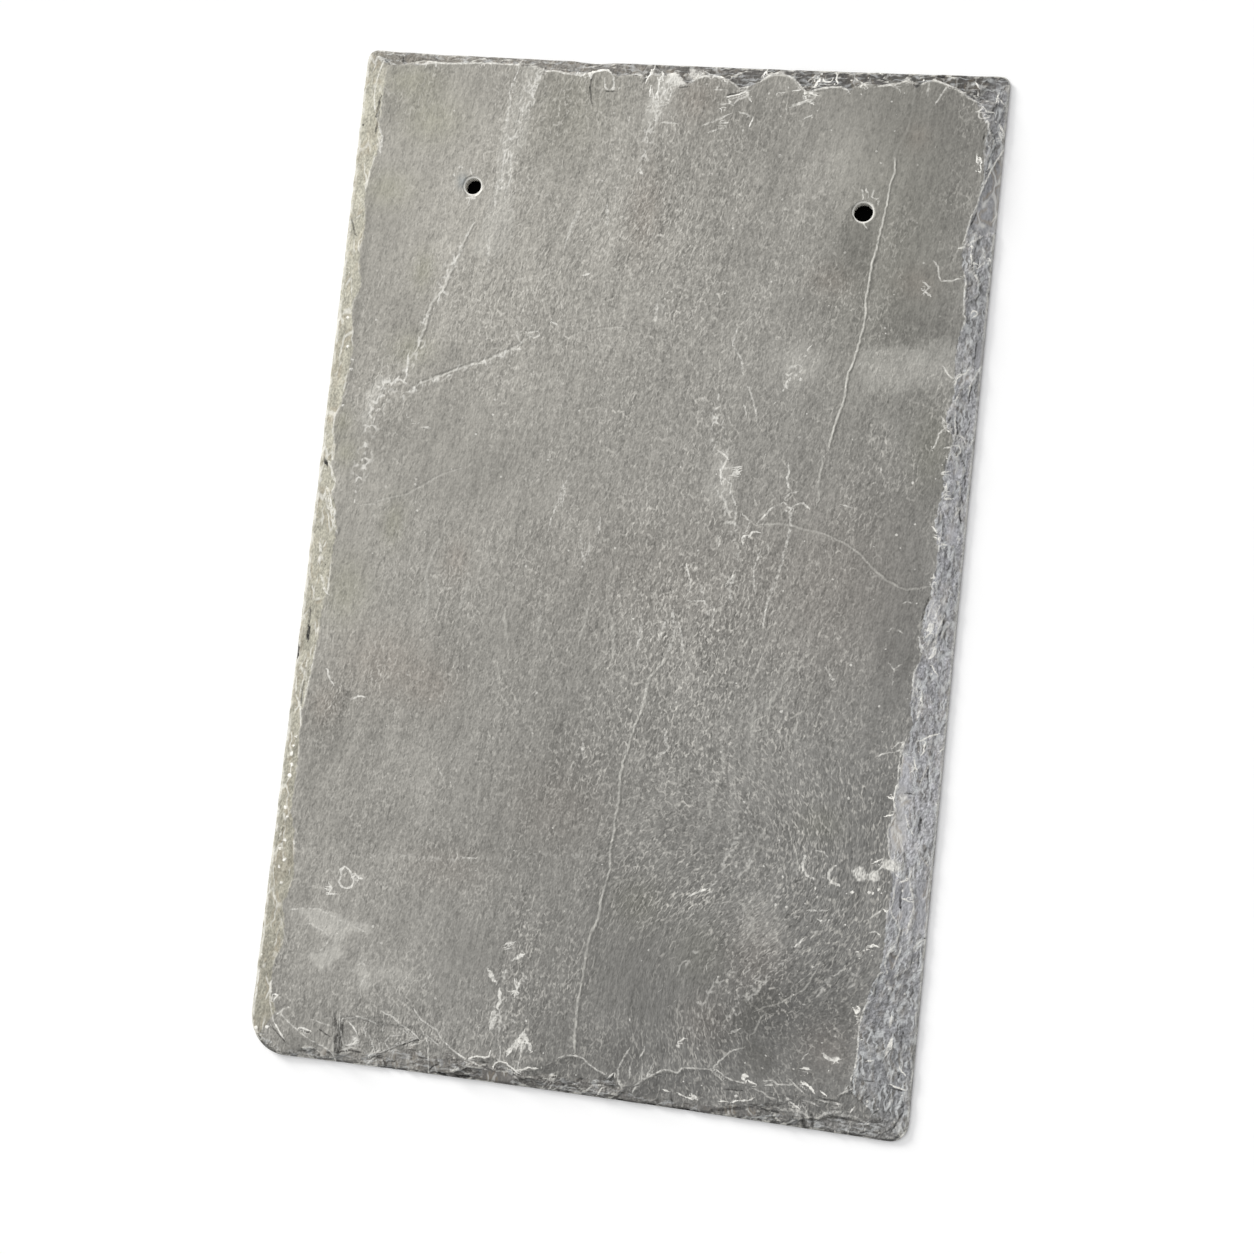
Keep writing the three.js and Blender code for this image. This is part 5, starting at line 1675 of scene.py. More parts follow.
class Recipe:
    """A material in the making; its patterns are set out in millimetres along the stone's grain."""

    def __init__(self, name: str) -> None:
        """Starts an empty material.

        Args:
            name: what the material is called.
        """
        self.material = bpy.data.materials.new(name)
        self.material.use_nodes = True
        self.tree = self.material.node_tree
        self.tree.nodes.clear()
        self.plan = add(self.tree, "Attribute", attribute_name="flow").outputs["Vector"]

    def math(self, operation: str, *values: object) -> Socket:
        """A sum of any kind."""
        return add(self.tree, "Math", dict(enumerate(values)), operation=operation).outputs["Value"]

    def total(self, *terms: object) -> Socket:
        """Adds terms up."""
        return functools.reduce(lambda left, right: self.math("ADD", left, right), terms)

    def product(self, *factors: object) -> Socket:
        """Multiplies factors."""
        return functools.reduce(lambda left, right: self.math("MULTIPLY", left, right), factors)

    def magnitude(self, value: Socket) -> Socket:
        """How far a value is from 0."""
        return self.math("ABSOLUTE", value)

    def number(self, label: str) -> Socket:
        """Reads one value that the mesh carries."""
        return add(self.tree, "Attribute", attribute_name=label).outputs["Fac"]

    def colour(self, label: str) -> Socket:
        """Reads a colour that the mesh carries."""
        return add(self.tree, "Attribute", attribute_name=label).outputs["Color"]

    def parts(self, label: str) -> tuple[Socket, Socket, Socket]:
        """Reads three values that the mesh carries together."""
        vector = add(self.tree, "Attribute", attribute_name=label).outputs["Vector"]
        return tuple(add(self.tree, "SeparateXYZ", {"Vector": vector}).outputs)

    def _laid(self, turn: float, shift: tuple[float, float]) -> Socket:
        """The plan, turned by some degrees and moved by some millimetres."""
        moved = {"Location": (*shift, 0.0), "Rotation": (0.0, 0.0, math.radians(turn))}
        return add(self.tree, "Mapping", {"Vector": self.plan, **moved}).outputs["Vector"]

    def _scaled(self, place: Socket, size: float, stretch: float) -> Socket:
        """A plan in units of a pattern's patches, which are stretched along Y."""
        scale = (1 / size, 1 / size / stretch, 1 / size)
        return add(self.tree, "Mapping", {"Vector": place, "Scale": scale}).outputs["Vector"]

    def noise(
        self,
        size: float,
        stretch: float = 1.0,
        detail: float = 2.0,
        warp: float = 0.0,
        turn: float = 6.0,
        shift: tuple[float, float] = (0.0, 0.0),
    ) -> Socket:
        """Cloudy noise centred on 0.

        Args:
            size: width of its patches in millimetres.
            stretch: how much longer than wide they are.
            detail: octaves of finer noise in it.
            warp: how far it is swirled.
            turn: degrees by which its length is turned from Y.
            shift: millimetres by which the pattern is moved.

        Returns:
            The noise, from about -0.5 to 0.5.
        """
        place = self._scaled(self._laid(turn, shift), size, stretch)
        inputs = {"Vector": place, "Scale": 1.0, "Detail": detail, "Roughness": 0.55, "Distortion": warp}
        return self.math("SUBTRACT", add(self.tree, "TexNoise", inputs).outputs["Fac"], 0.5)

    def strands(
        self, size: float, stretch: float, sway: float, turn: float, shift: tuple[float, float]
    ) -> Socket:
        """A network of curling lines.

        Args:
            size: width of the meshes of the network in millimetres.
            stretch: how much longer than wide they are.
            sway: millimetres by which the lines wander.
            turn: degrees by which their length is turned from Y.
            shift: millimetres by which the network is moved.

        Returns:
            The distance to the nearest line in millimetres.
        """
        place = self._laid(turn, shift)
        drift = add(self.tree, "TexNoise", {"Vector": place, "Scale": 0.9 / size, "Detail": 1.0})
        wander = {0: drift.outputs["Color"], 1: (sway,) * 3, 2: place}
        swayed = add(self.tree, "VectorMath", wander, operation="MULTIPLY_ADD").outputs["Vector"]
        node = add(
            self.tree,
            "TexVoronoi",
            {"Vector": self._scaled(swayed, size, stretch), "Scale": 1.0, "Randomness": 1.0},
            voronoi_dimensions="2D",
            feature="DISTANCE_TO_EDGE",
        )
        return self.product(node.outputs["Distance"], size)

    def ramp(self, value: object, low: float, high: float) -> Socket:
        """Goes smoothly from 0 at low to 1 at high."""
        limits = {"Value": value, "From Min": low, "From Max": high}
        return add(self.tree, "MapRange", limits, interpolation_type="SMOOTHSTEP").outputs["Result"]

    def blend(self, factor: object, under: object, over: object) -> Socket:
        """Lays one colour over another."""
        return add(self.tree, "Mix", {0: factor, 6: under, 7: over}, data_type="RGBA").outputs[2]

    def coat(self, colour: Socket, shade: str, *cover: object) -> Socket:
        """Lays a shade over a colour, as far as the product of what covers it."""
        return self.blend(self.product(*cover), colour, linear(shade))

    def brighten(self, colour: object, factor: object) -> Socket:
        """Multiplies a colour by a number."""
        return add(self.tree, "VectorMath", {0: colour, "Scale": factor}, operation="SCALE").outputs["Vector"]

    def finish(self, shader: bpy.types.Node) -> bpy.types.Material:
        """Sends the shader to the output and returns the material."""
        add(self.tree, "OutputMaterial", {"Surface": shader.outputs[0]})
        return self.material


@dataclass(frozen=True)
class RivenSlate:
    """Natural slate, split and knife-dressed: matt, fine-grained, paler where it is broken.

    The face keeps a faint silky grain along the tile with pale mineral threads. Broken
    stone on the edges is paler and cooler, and the shaved left edge is dusted warm. The
    real grain is finer than a tenth of a millimetre, so it is drawn as mottle 0.7 to
    1.6 mm wide, the finest that shows at the distance the tile is seen from.

    Attributes:
        thread: colour of its mineral threads and of dust.
        hollow: of pits, seams and darker washes, and of the painted shade in hollows and beside veins.
        mineral: of veins, bloom and the worn rim.
        crumb: of fresh crumbs, breaks and curls.
        crevice: of deep splits, and of painted shadows beside walls and raised flakes.
        splint: of the long splints along the torn edges.
        bruise_and_shade: of bruised stone by a nail hole, and of the painted shade of its seat's wall.
        umber: of the grooves and rust of the shaved edge.
        roughness: of its surface, which is matt.
        ior: typical of stone.
        specular: how much of that the riven grain leaves.
    """

    thread: str = "#d6d3cb"
    hollow: str = "#5a5955"
    mineral: str = "#dcdad2"
    crumb: str = "#f3f1ea"
    crevice: str = "#2b2a29"
    splint: str = "#c8caca"
    bruise_and_shade: str = "#8f9a9f"
    umber: str = "#a0927c"
    roughness: float = 0.84
    ior: float = 1.5
    specular: float = 0.25

    def build(self, name: str) -> bpy.types.Material:
        """Makes the material's nodes.

        Args:
            name: what the material is called.

        Returns:
            The finished material.
        """
        recipe = Recipe(name)
        lively = recipe.number("lively")
        mottle = recipe.product(recipe.noise(1.6, 2.2, 1.0, 0.5), lively)
        fine = recipe.noise(0.7, 1.4, 0.0, 0.4)
        thread = self._threads(recipe, lively)
        splinter = recipe.noise(2.0, 1.0, 3.0, 0.9)
        frayed = recipe.total(recipe.number("beyond_mm"), recipe.product(recipe.noise(2.6, 1.0, 3.0), 2.6))
        edge = recipe.ramp(frayed, -0.15, 0.25)

        face = self._face(recipe, mottle, thread, recipe.product(fine, lively))
        broken = self._broken(recipe, splinter, fine, thread)
        colour = self._marks(recipe, recipe.blend(edge, face, broken), thread, fine)

        height = recipe.total(
            recipe.product(mottle, 0.4),
            recipe.product(fine, lively, 0.13),
            recipe.product(splinter, edge, recipe.number("loose"), 0.9),
        )
        bump = add(recipe.tree, "Bump", {"Height": height, "Distance": MM, "Strength": 1.0})
        looks = {
            "Base Color": colour,
            "Roughness": self.roughness,
            "IOR": self.ior,
            "Specular IOR Level": self.specular,
            "Normal": bump.outputs["Normal"],
        }
        return recipe.finish(add(recipe.tree, "BsdfPrincipled", looks))

    def _threads(self, recipe: Recipe, lively: Socket) -> Socket:
        """Short curling threads half a millimetre wide, livelier in some places than others.

        Args:
            recipe: the material in the making.
            lively: how lively the face is.

        Returns:
            Their tone, above 0 on a thread and below 0 beside it.
        """
        tone = 0.0
        for size, stretch, sway, turn, shift in ((1.6, 2.8, 2.0, 12.0, 0.0), (2.3, 2.4, 2.8, -4.0, 30.0)):
            away = recipe.strands(size, stretch, sway, turn, (shift, shift))
            line = recipe.ramp(away, 0.36, 0.06)
            halo = recipe.product(recipe.ramp(away, 0.2, 0.42), recipe.ramp(away, 0.8, 0.45), 0.7)
            shown = recipe.ramp(recipe.noise(1.5, 1.6, 1.0, 0.3, turn, (40.0 - shift, 9.0)), -0.04, 0.1)
            tone = recipe.total(tone, recipe.product(recipe.math("SUBTRACT", line, halo), shown))
        patchy = recipe.product(recipe.noise(14.0, 1.5, 2.0), 1.8)
        amount = recipe.total(patchy, recipe.product(lively, 1.6), -0.75)
        return recipe.product(tone, recipe.math("MAXIMUM", amount, 0.12))

    def _face(self, recipe: Recipe, mottle: Socket, thread: Socket, fine: Socket) -> Socket:
        """The riven face: mottled, with short pale threads along the tile, streaks and small pits.

        Args:
            recipe: the material in the making.
            mottle: patches of the grain.
            thread: tone of the curling threads.
            fine: the finest grain.

        Returns:
            The face's colour.
        """
        keen = recipe.math("MAXIMUM", recipe.total(recipe.number("lively"), -0.7), 0.0)
        factor = recipe.total(
            1.0,
            recipe.product(mottle, 0.8),
            recipe.product(fine, 0.6),
            recipe.product(thread, 0.1),
            recipe.product(recipe.noise(22.0, 1.6, 3.0), 0.4),
            recipe.product(recipe.noise(3.4, 7.0, 2.0, 0.3, 10.0), 0.5),
            recipe.product(recipe.noise(3.0, 5.0, 2.0, 0.4, 14.0, (50.0, 20.0)), keen, 1.8),
        )
        colour = recipe.brighten(recipe.colour("face_tint"), factor)
        colour = recipe.coat(colour, self.thread, thread, 0.38)
        pits = recipe.ramp(recipe.noise(1.3, 2.0, 1.0, 0.2, 6.0, (11.0, 60.0)), 0.08, 0.22)
        return recipe.coat(colour, self.hollow, pits, 0.3)

    def _broken(self, recipe: Recipe, splinter: Socket, fine: Socket, thread: Socket) -> Socket:
        """Broken stone of the dressed edges: flakes of uneven tone, with pale and dark seams.

        Args:
            recipe: the material in the making.
            splinter: pattern of the small splinters.
            fine: the finest grain.
            thread: tone of the curling threads.

        Returns:
            The broken stone's colour.
        """
        loose = recipe.number("loose")
        whole = recipe.math("SUBTRACT", 1.0, loose)
        inset, along_x, laminated = recipe.parts("lamella")
        upright, level = (recipe.noise(0.9, 9.0, 1.0, 0.0, turn) for turn in (0.0, 90.0))
        gap = recipe.product(recipe.math("SUBTRACT", level, upright), along_x)
        lamella = recipe.product(recipe.total(upright, gap), recipe.ramp(inset, 9.0, 3.0), loose, laminated)
        factor = recipe.total(
            1.0,
            recipe.product(lamella, 0.9),
            recipe.product(recipe.number("flake_tone"), 0.3),
            recipe.product(splinter, loose, 1.4),
            recipe.product(recipe.noise(1.0, 9.0, 2.0, 0.0, 0.0), whole, 0.6),
            recipe.product(thread, 0.22),
            recipe.product(recipe.noise(5.0, 1.6, 2.0, 0.5), recipe.total(recipe.product(whole, 0.5), 0.5)),
            recipe.product(fine, recipe.total(recipe.product(loose, 0.4), 0.7)),
        )
        colour = recipe.brighten(recipe.colour("edge_tint"), factor)
        seam = recipe.ramp(recipe.total(recipe.number("seam_mm"), recipe.product(fine, 0.8)), 0.38, 0.05)
        colour = recipe.coat(colour, self.hollow, seam, loose, 0.35)
        colour = self._splints(recipe, colour, loose, along_x)
        colour = self._shaved(recipe, colour, whole, splinter)
        rim = recipe.number("rim")
        rim = recipe.total(rim, recipe.product(fine, 0.6, rim))
        colour = recipe.coat(colour, self.mineral, recipe.ramp(rim, 0.0, 1.0))
        return recipe.coat(colour, self.crevice, recipe.ramp(rim, 0.0, -1.0))

    def _splints(self, recipe: Recipe, colour: Socket, loose: Socket, along_x: Socket) -> Socket:
        """Long pale splints along the torn edges, each with a dark split beside it.

        Args:
            recipe: the material in the making.
            colour: what they lie on.
            loose: how loose the flakes are.
            along_x: 1 on the edges that run along X and 0 on the others.

        Returns:
            The colour with them.
        """
        flaked = recipe.ramp(loose, 0.25, 0.55)
        shares = {0.0: recipe.math("SUBTRACT", 1.0, along_x), 90.0: recipe.product(along_x, 0.6)}
        for turn, share in shares.items():
            away = recipe.strands(2.1, 4.6, 2.6, turn, (6.0, 1.0))
            there = recipe.ramp(recipe.noise(2.6, 2.0, 1.0, 0.0, turn, (1.0, 7.0)), -0.1, 0.08)
            there = recipe.product(there, flaked, share)
            split = recipe.product(recipe.ramp(away, 0.25, 0.5), recipe.ramp(away, 1.1, 0.6), there)
            colour = recipe.coat(colour, self.hollow, split, 0.5)
            colour = recipe.coat(colour, self.splint, recipe.ramp(away, 0.42, 0.1), there, 0.8)
        return colour

    def _shaved(self, recipe: Recipe, colour: Socket, whole: Socket, splinter: Socket) -> Socket:
        """Shallow grooves, pale ridges, a pale arris and rust where the knife shaved the edge.

        Args:
            recipe: the material in the making.
            colour: what they lie on.
            whole: how whole the stone is.
            splinter: pattern of the small splinters.

        Returns:
            The colour with them.
        """
        away = recipe.strands(4.2, 3.2, 4.0, 0.0, (3.0, 3.0))
        broken = recipe.ramp(recipe.noise(4.0, 2.0, 1.0, 0.0, 0.0, (9.0, 2.0)), -0.04, 0.1)
        groove = recipe.product(recipe.ramp(away, 0.3, 0.6), recipe.ramp(away, 1.2, 0.7))
        colour = recipe.coat(colour, self.umber, groove, broken, whole, 0.4)
        colour = recipe.coat(colour, self.crumb, recipe.ramp(away, 0.45, 0.1), broken, whole, 0.55)
        beyond = recipe.total(recipe.number("beyond_mm"), -0.35, recipe.product(splinter, 0.8))
        arris = recipe.ramp(recipe.magnitude(beyond), 0.5, 0.15)
        colour = recipe.coat(colour, self.crumb, arris, whole, broken, 0.45)
        rust = recipe.ramp(recipe.noise(7.0, 1.5, 2.0, 0.0, 0.0, (2.0, 8.0)), 0.03, 0.16)
        return recipe.coat(colour, self.umber, rust, whole, 0.18)

    def _marks(self, recipe: Recipe, colour: Socket, thread: Socket, fine: Socket) -> Socket:
        """Painted shade in hollows, wear, flake beds, bloom, dust, veins, lines and crumbs.

        Args:
            recipe: the material in the making.
            colour: what they lie on.
            thread: tone of the curling threads.
            fine: the finest grain.

        Returns:
            The colour with them.
        """
        cavity = recipe.number("cavity_mm")
        # Painted shade: points lying below their surroundings are darkened with the hollow colour, as shade
        # would fall there.
        colour = recipe.coat(colour, self.hollow, recipe.ramp(cavity, 0.02, 0.2), 0.55)
        worn = recipe.ramp(recipe.noise(3.0, 1.5, 2.0, 0.0, 0.0, (4.0, 6.0)), -0.14, 0.14)
        colour = recipe.coat(colour, self.mineral, recipe.ramp(cavity, -0.03, -0.18), worn, 0.7)
        facet = recipe.number("facet")
        facet = recipe.total(facet, recipe.product(facet, fine, 1.8))
        colour = recipe.coat(colour, self.crumb, recipe.ramp(facet, 0.0, 1.2), 0.8)
        colour = recipe.coat(colour, self.crevice, recipe.ramp(facet, 0.0, -1.0))
        colour = self._soiled(recipe, colour)
        lip = recipe.total(recipe.number("mouth_mm"), recipe.product(recipe.noise(2.4, 1.0, 1.0), 0.8))
        colour = recipe.coat(colour, self.crumb, recipe.ramp(recipe.magnitude(lip), 0.5, 0.25), 0.75)
        colour = self._veins(recipe, colour, thread)
        colour = self._chains(recipe, colour)
        return self._crumbs(recipe, self._lines(recipe, colour))

    def _soiled(self, recipe: Recipe, colour: Socket) -> Socket:
        """Mineral bloom and darker washes with ragged borders, dust, and bruised stone with the painted shade
        of the seat by the left hole.

        Args:
            recipe: the material in the making.
            colour: what they lie on.

        Returns:
            The colour with them.
        """
        torn = recipe.total(
            recipe.product(recipe.noise(5.0, 1.0, 1.0), 2.2), recipe.product(recipe.noise(1.3, 1.5, 1.0), 2.6)
        )
        # The darker washes include painted shade: that of a groove just inside the left arris.
        for label, shade in (("bloom", self.mineral), ("dark_wash", self.hollow)):
            depth, amount, _ = recipe.parts(label)
            colour = recipe.coat(colour, shade, recipe.ramp(recipe.total(depth, torn), -1.0, 1.0), amount)
        settled = recipe.ramp(recipe.noise(6.0, 1.0, 4.0), -0.2, 0.15)
        colour = recipe.coat(colour, self.thread, recipe.number("dust"), settled, 0.5)
        # Painted shade: the bluish patch by the left nail hole, where the seat's wall lies in shade, as well
        # as bruised stone.
        return recipe.coat(colour, self.bruise_and_shade, recipe.number("bruise_and_shade"), 0.8)

    def _lines(self, recipe: Recipe, colour: Socket) -> Socket:
        """Dark crevices and painted shadows, and then pale ridges, threads and breaks, of uneven strength
        along them.

        Args:
            recipe: the material in the making.
            colour: what they lie on.

        Returns:
            The colour with them.
        """
        wander = recipe.product(recipe.noise(1.6, 1.0, 2.0), 2.6)
        broken = recipe.noise(1.6, 1.0, 2.0, 0.0, 0.0, (5.0, 5.0))
        for label, shade, rough in (("dark", self.crevice, 1.6), ("pale", self.crumb, 1.8)):
            signed, away, strength = recipe.parts(label)
            off = recipe.magnitude(recipe.total(signed, wander))
            line = recipe.product(recipe.ramp(off, 1.15, 0.5), recipe.ramp(away, 1.1, 0.65))
            shown = recipe.math("MAXIMUM", recipe.total(strength, recipe.product(broken, rough)), 0.0)
            shown = recipe.product(shown, recipe.ramp(strength, 0.0, 0.1))
            colour = recipe.coat(colour, shade, recipe.math("MINIMUM", recipe.product(line, shown), 1.0))
        return colour

    def _veins(self, recipe: Recipe, colour: Socket, thread: Socket) -> Socket:
        """Long veins that wander and split, with a painted shadow on their left hand as if they stood proud
        under the light.

        Args:
            recipe: the material in the making.
            colour: what they lie on.
            thread: tone of the curling threads, with which they change.

        Returns:
            The colour with them.
        """
        signed, away, strength = recipe.parts("vein")
        wander = recipe.total(
            recipe.product(recipe.noise(9.0, 1.0, 0.0, 0.0, 0.0), 3.5),
            recipe.product(recipe.noise(2.2, 1.0, 1.0, 0.0, 0.0), 2.0),
        )
        off = recipe.total(signed, wander)
        patchy = recipe.product(recipe.noise(5.0, 1.0, 2.0), 2.2)
        uneven = recipe.math("MAXIMUM", recipe.total(0.9, patchy, recipe.product(thread, 0.25)), 0.0)
        shown = recipe.product(strength, recipe.ramp(away, 3.0, 1.8), uneven)
        # Painted shadow: a dark band along the left hand of each vein, where a raised vein would cast shade.
        shade = recipe.product(recipe.ramp(off, -0.9, -1.4), recipe.ramp(off, -2.9, -1.8))
        colour = recipe.coat(colour, self.hollow, shade, shown, 0.6)
        return recipe.coat(colour, self.mineral, recipe.ramp(recipe.magnitude(off), 1.1, 0.3), shown, 0.85)

    def _chains(self, recipe: Recipe, colour: Socket) -> Socket:
        """Chains of short bright curls.

        Args:
            recipe: the material in the making.
            colour: what they lie on.

        Returns:
            The colour with them.
        """
        signed, _, strength = recipe.parts("chain")
        inside = recipe.product(recipe.ramp(recipe.magnitude(signed), 1.3, 0.2), strength)
        stroke = recipe.ramp(recipe.strands(2.5, 1.6, 2.6, 10.0, (7.0, 3.0)), 0.5, 0.15)
        broken = recipe.ramp(recipe.noise(3.0, 1.0, 1.0, 0.0, 0.0, (5.0, 5.0)), -0.08, 0.06)
        amount = recipe.math("MINIMUM", recipe.product(inside, stroke, broken, 1.4), 1.0)
        return recipe.coat(colour, self.crumb, amount)

    def _crumbs(self, recipe: Recipe, colour: Socket) -> Socket:
        """Bright crumbs and specks of uneven size, thickest where the mesh says so.

        Args:
            recipe: the material in the making.
            colour: what they lie on.

        Returns:
            The colour with them.
        """
        size = 2.0
        cells = add(recipe.tree, "TexVoronoi", {"Vector": recipe.plan, "Scale": 1 / size})
        chance = add(recipe.tree, "SeparateColor", {"Color": cells.outputs["Color"]})
        wobble = recipe.product(recipe.noise(0.8, 1.0, 1.0), 0.7)
        away = recipe.total(recipe.product(cells.outputs["Distance"], size), wobble)
        radius = recipe.total(recipe.product(chance.outputs["Green"], 0.4), 0.12)
        spot = recipe.ramp(recipe.math("SUBTRACT", away, radius), 0.1, -0.1)
        there = recipe.ramp(recipe.total(chance.outputs["Red"], recipe.number("crumbs")), 0.95, 1.0)
        shown = recipe.total(recipe.product(chance.outputs["Blue"], 0.6), 0.3)
        return recipe.coat(colour, self.crumb, spot, there, shown)


# ---------------------------------------------------------------- the tile


def round_corner(x: Array, y: Array, corner: tuple[float, float], radius: float) -> tuple[Array, Array]:
    """Draws in the points near one corner of a rectangle, so that the corner is round.

    Args:
        x: the points' first coordinate, from the rectangle's middle.
        y: their second coordinate.
        corner: where its corner is.
        radius: the rounded corner's radius.

    Returns:
        The points' new coordinates.
    """
    way_x, way_y = np.sign(corner)
    middle_x, middle_y = np.abs(corner) - radius
    u, v = (way_x * x - middle_x) / radius, (way_y * y - middle_y) / radius
    shrink = np.maximum(u, v) / np.maximum(np.hypot(u, v), 1e-9)
    near = (u > 0) & (v > 0)
    round_x = way_x * (middle_x + u * shrink * radius)
    round_y = way_y * (middle_y + v * shrink * radius)
    return np.where(near, round_x, x), np.where(near, round_y, y)


@dataclass(frozen=True)
class Band:
    """A closely ruled strip of the grid along one edge: its width, pitch and further cuts."""

    width: float
    pitch: float
    cuts: int


@dataclass
class SlateTile:
    """The one piece of the object: the dressed sheet with its nail holes.

    Attributes:
        node: the CAD node that it stands for.
        outline: the sheet's plan.
        holes: its nail holes, from the left.
        weathering_and_shade: how its face weathered, and where light and shade are painted on it.
        bands: the closely ruled bands along the edges, where the flakes are.
        band_fade: width over which the pitch widens beside a band.
        band_margin: how far beyond a band its long edges are cut too.
        longest_square: length past which an edge there counts as long.
        plain_pitch: pitch of the grid between the bands.
        bow_fade: how far in from a bowed edge the grid is moved with it.
        window: half the opening in the grid that the rings round a bore fill.
        rings: how far outside the bore those rings are.
        bore_levels: levels of the rings down a bore's wall.
        back_pitch: pitch of the grid of the back.
        back_margin: width of the strip between that grid and the straight edges.
        back_corner: radius of that grid's corners.
        rim_zone: how far in from the cut line its shade starts to fade, and where it is gone.
        head_laminae: how plainly the split layers show in the upper half, where 1 is the lower.
        mouth: how far outside a bore its worn mouth lies.
        tint_blend: how softly the edges' colours meet at the corners.
    """

    node: str = "slate"
    outline: Outline = field(default_factory=Outline)
    holes: tuple[NailHole, ...] = (
        NailHole(x=-77.0, y=146.0, bore=6.6, seat=8.6, seat_depth=1.1),
        NailHole(x=77.3, y=144.0, bore=7.4, seat=9.4, seat_depth=1.2),
    )
    weathering_and_shade: WeatheringAndShade = field(default_factory=WeatheringAndShade)
    bands: dict[Side, Band] = field(
        default_factory=lambda: {
            Side.TAIL: Band(width=23.0, pitch=0.5, cuts=2),
            Side.RIGHT: Band(width=27.0, pitch=0.5, cuts=2),
            Side.HEAD: Band(width=13.0, pitch=0.55, cuts=1),
            Side.LEFT: Band(width=10.0, pitch=0.8, cuts=2),
        }
    )
    band_fade: float = 14.0
    band_margin: float = 3.0
    longest_square: float = 1.0
    plain_pitch: float = 2.3
    bow_fade: float = 24.0
    window: float = 6.5
    rings: tuple[float, ...] = (1.5, 1.25, 1.05, 0.8, 0.45, 0.2, 0.0)
    bore_levels: tuple[float, ...] = (0.85, 0.6, 0.3, 0.0)
    back_pitch: float = 5.0
    back_margin: float = 3.5
    back_corner: float = 16.0
    rim_zone: tuple[float, float] = (0.5, 1.5)
    head_laminae: float = 0.6
    mouth: float = 0.2
    tint_blend: float = 3.0

    # Places at which the grid's pitch is summed up, and rounds of averaging that find hollows.
    GRID_SAMPLES = 8001
    CAVITY_ROUNDS = 5
    # Levels past which a point is on the weather side or the back, and how far beyond the
    # border of the broken stone the walls count as, or short of it the back.
    ON_TOP = 0.99
    ON_BACK = 0.01
    OFF_TOP = 3.0

    def build(self) -> bpy.types.Object:
        """Makes the tile, dresses it and puts it in its CAD node's place.

        Returns:
            The tile.
        """
        mesh = bpy.data.meshes.new("slate_sheet")
        slab = self._slab()
        slab.to_mesh(mesh)
        slab.free()
        self._raise(mesh)
        tile = bpy.data.objects.new("slate_sheet", mesh)
        bpy.context.scene.collection.objects.link(tile)
        mesh.materials.append(RivenSlate().build("riven_slate"))
        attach(tile, "root")
        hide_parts(self.node)
        return tile

    # ------------------------------------------------ slab of unit height

    def _slab(self) -> bmesh.types.BMesh:
        """Makes the trimmed slab.

        Returns:
            The slab, whose z is 1 on the weather side and 0 on the back.
        """
        slab = bmesh.new()
        rule_x = self._lines(self.outline.width, self.bands[Side.LEFT], self.bands[Side.RIGHT])
        rule_y = self._lines(self.outline.length, self.bands[Side.TAIL], self.bands[Side.HEAD])
        across, along = len(rule_x) - 1, len(rule_y) - 1
        bmesh.ops.create_grid(slab, x_segments=across, y_segments=along, size=1.0)
        for vert in slab.verts:
            column = round((vert.co.x + 1) / 2 * across)
            row = round((vert.co.y + 1) / 2 * along)
            vert.co = (rule_x[column], rule_y[row], 1.0)
        for side in Side:
            self._refine(slab, side)
        flat = np.array([vert.co for vert in slab.verts])
        for vert, px, py in zip(slab.verts, *self._trim(flat[:, 0], flat[:, 1])):
            vert.co = (px, py, 1.0)
        self._refine_flecks(slab)
        for hole in self.holes:
            self._open(slab, hole)
        border = [edge for edge in slab.edges if edge.is_boundary and self._is_rim(edge)]
        for level in (0.5, 0.0):
            border = self._extrude(slab, border, level)
        self._close_back(slab, border)
        bmesh.ops.recalc_face_normals(slab, faces=slab.faces)
        for face in slab.faces:
            face.smooth = True
        LOG.info("slab: %d faces, %d triangles", len(slab.faces), len(slab.calc_loop_triangles()))
        return slab

    def _lines(self, length: float, before: Band, after: Band) -> Array:
        """Places the grid lines across the sheet, close near the edges and wide between.

        Args:
            length: the sheet's extent, centred on 0.
            before: the closely ruled band at the low end.
            after: that band at the high end.

        Returns:
            The lines' coordinates in order.
        """
        place = np.linspace(0.0, length, self.GRID_SAMPLES)
        low = smoothstep(place, before.width, before.width + self.band_fade)
        high = smoothstep(length - place, after.width, after.width + self.band_fade)
        pitch = np.where(
            place < length / 2,
            before.pitch + (self.plain_pitch - before.pitch) * low,
            after.pitch + (self.plain_pitch - after.pitch) * high,
        )
        count = np.concatenate(([0.0], np.cumsum(0.5 * (1 / pitch[1:] + 1 / pitch[:-1])) * place[1]))
        lines = round(count[-1])
        return np.interp(np.linspace(0.0, count[-1], lines + 1), count, place) - length / 2

    def _refine(self, slab: bmesh.types.BMesh, side: Side) -> None:
        """Cuts the long grid edges that run along one side, in the band beside it.

        Args:
            slab: the slab, so far a flat grid.
            side: the side.
        """
        band = self.bands[side]
        axis = 0 if side.runs_along_x else 1
        half = (self.outline.length if side.runs_along_x else self.outline.width) / 2
        chosen = []
        for edge in slab.edges:
            first, second = edge.verts[0].co, edge.verts[1].co
            level = abs(first[1 - axis] - second[1 - axis]) < 1e-6
            beside = side.outward * first[1 - axis] > half - band.width - self.band_margin
            if level and beside and abs(first[axis] - second[axis]) > self.longest_square:
                chosen.append(edge)
        bmesh.ops.subdivide_edges(slab, edges=chosen, cuts=band.cuts, use_grid_fill=True)

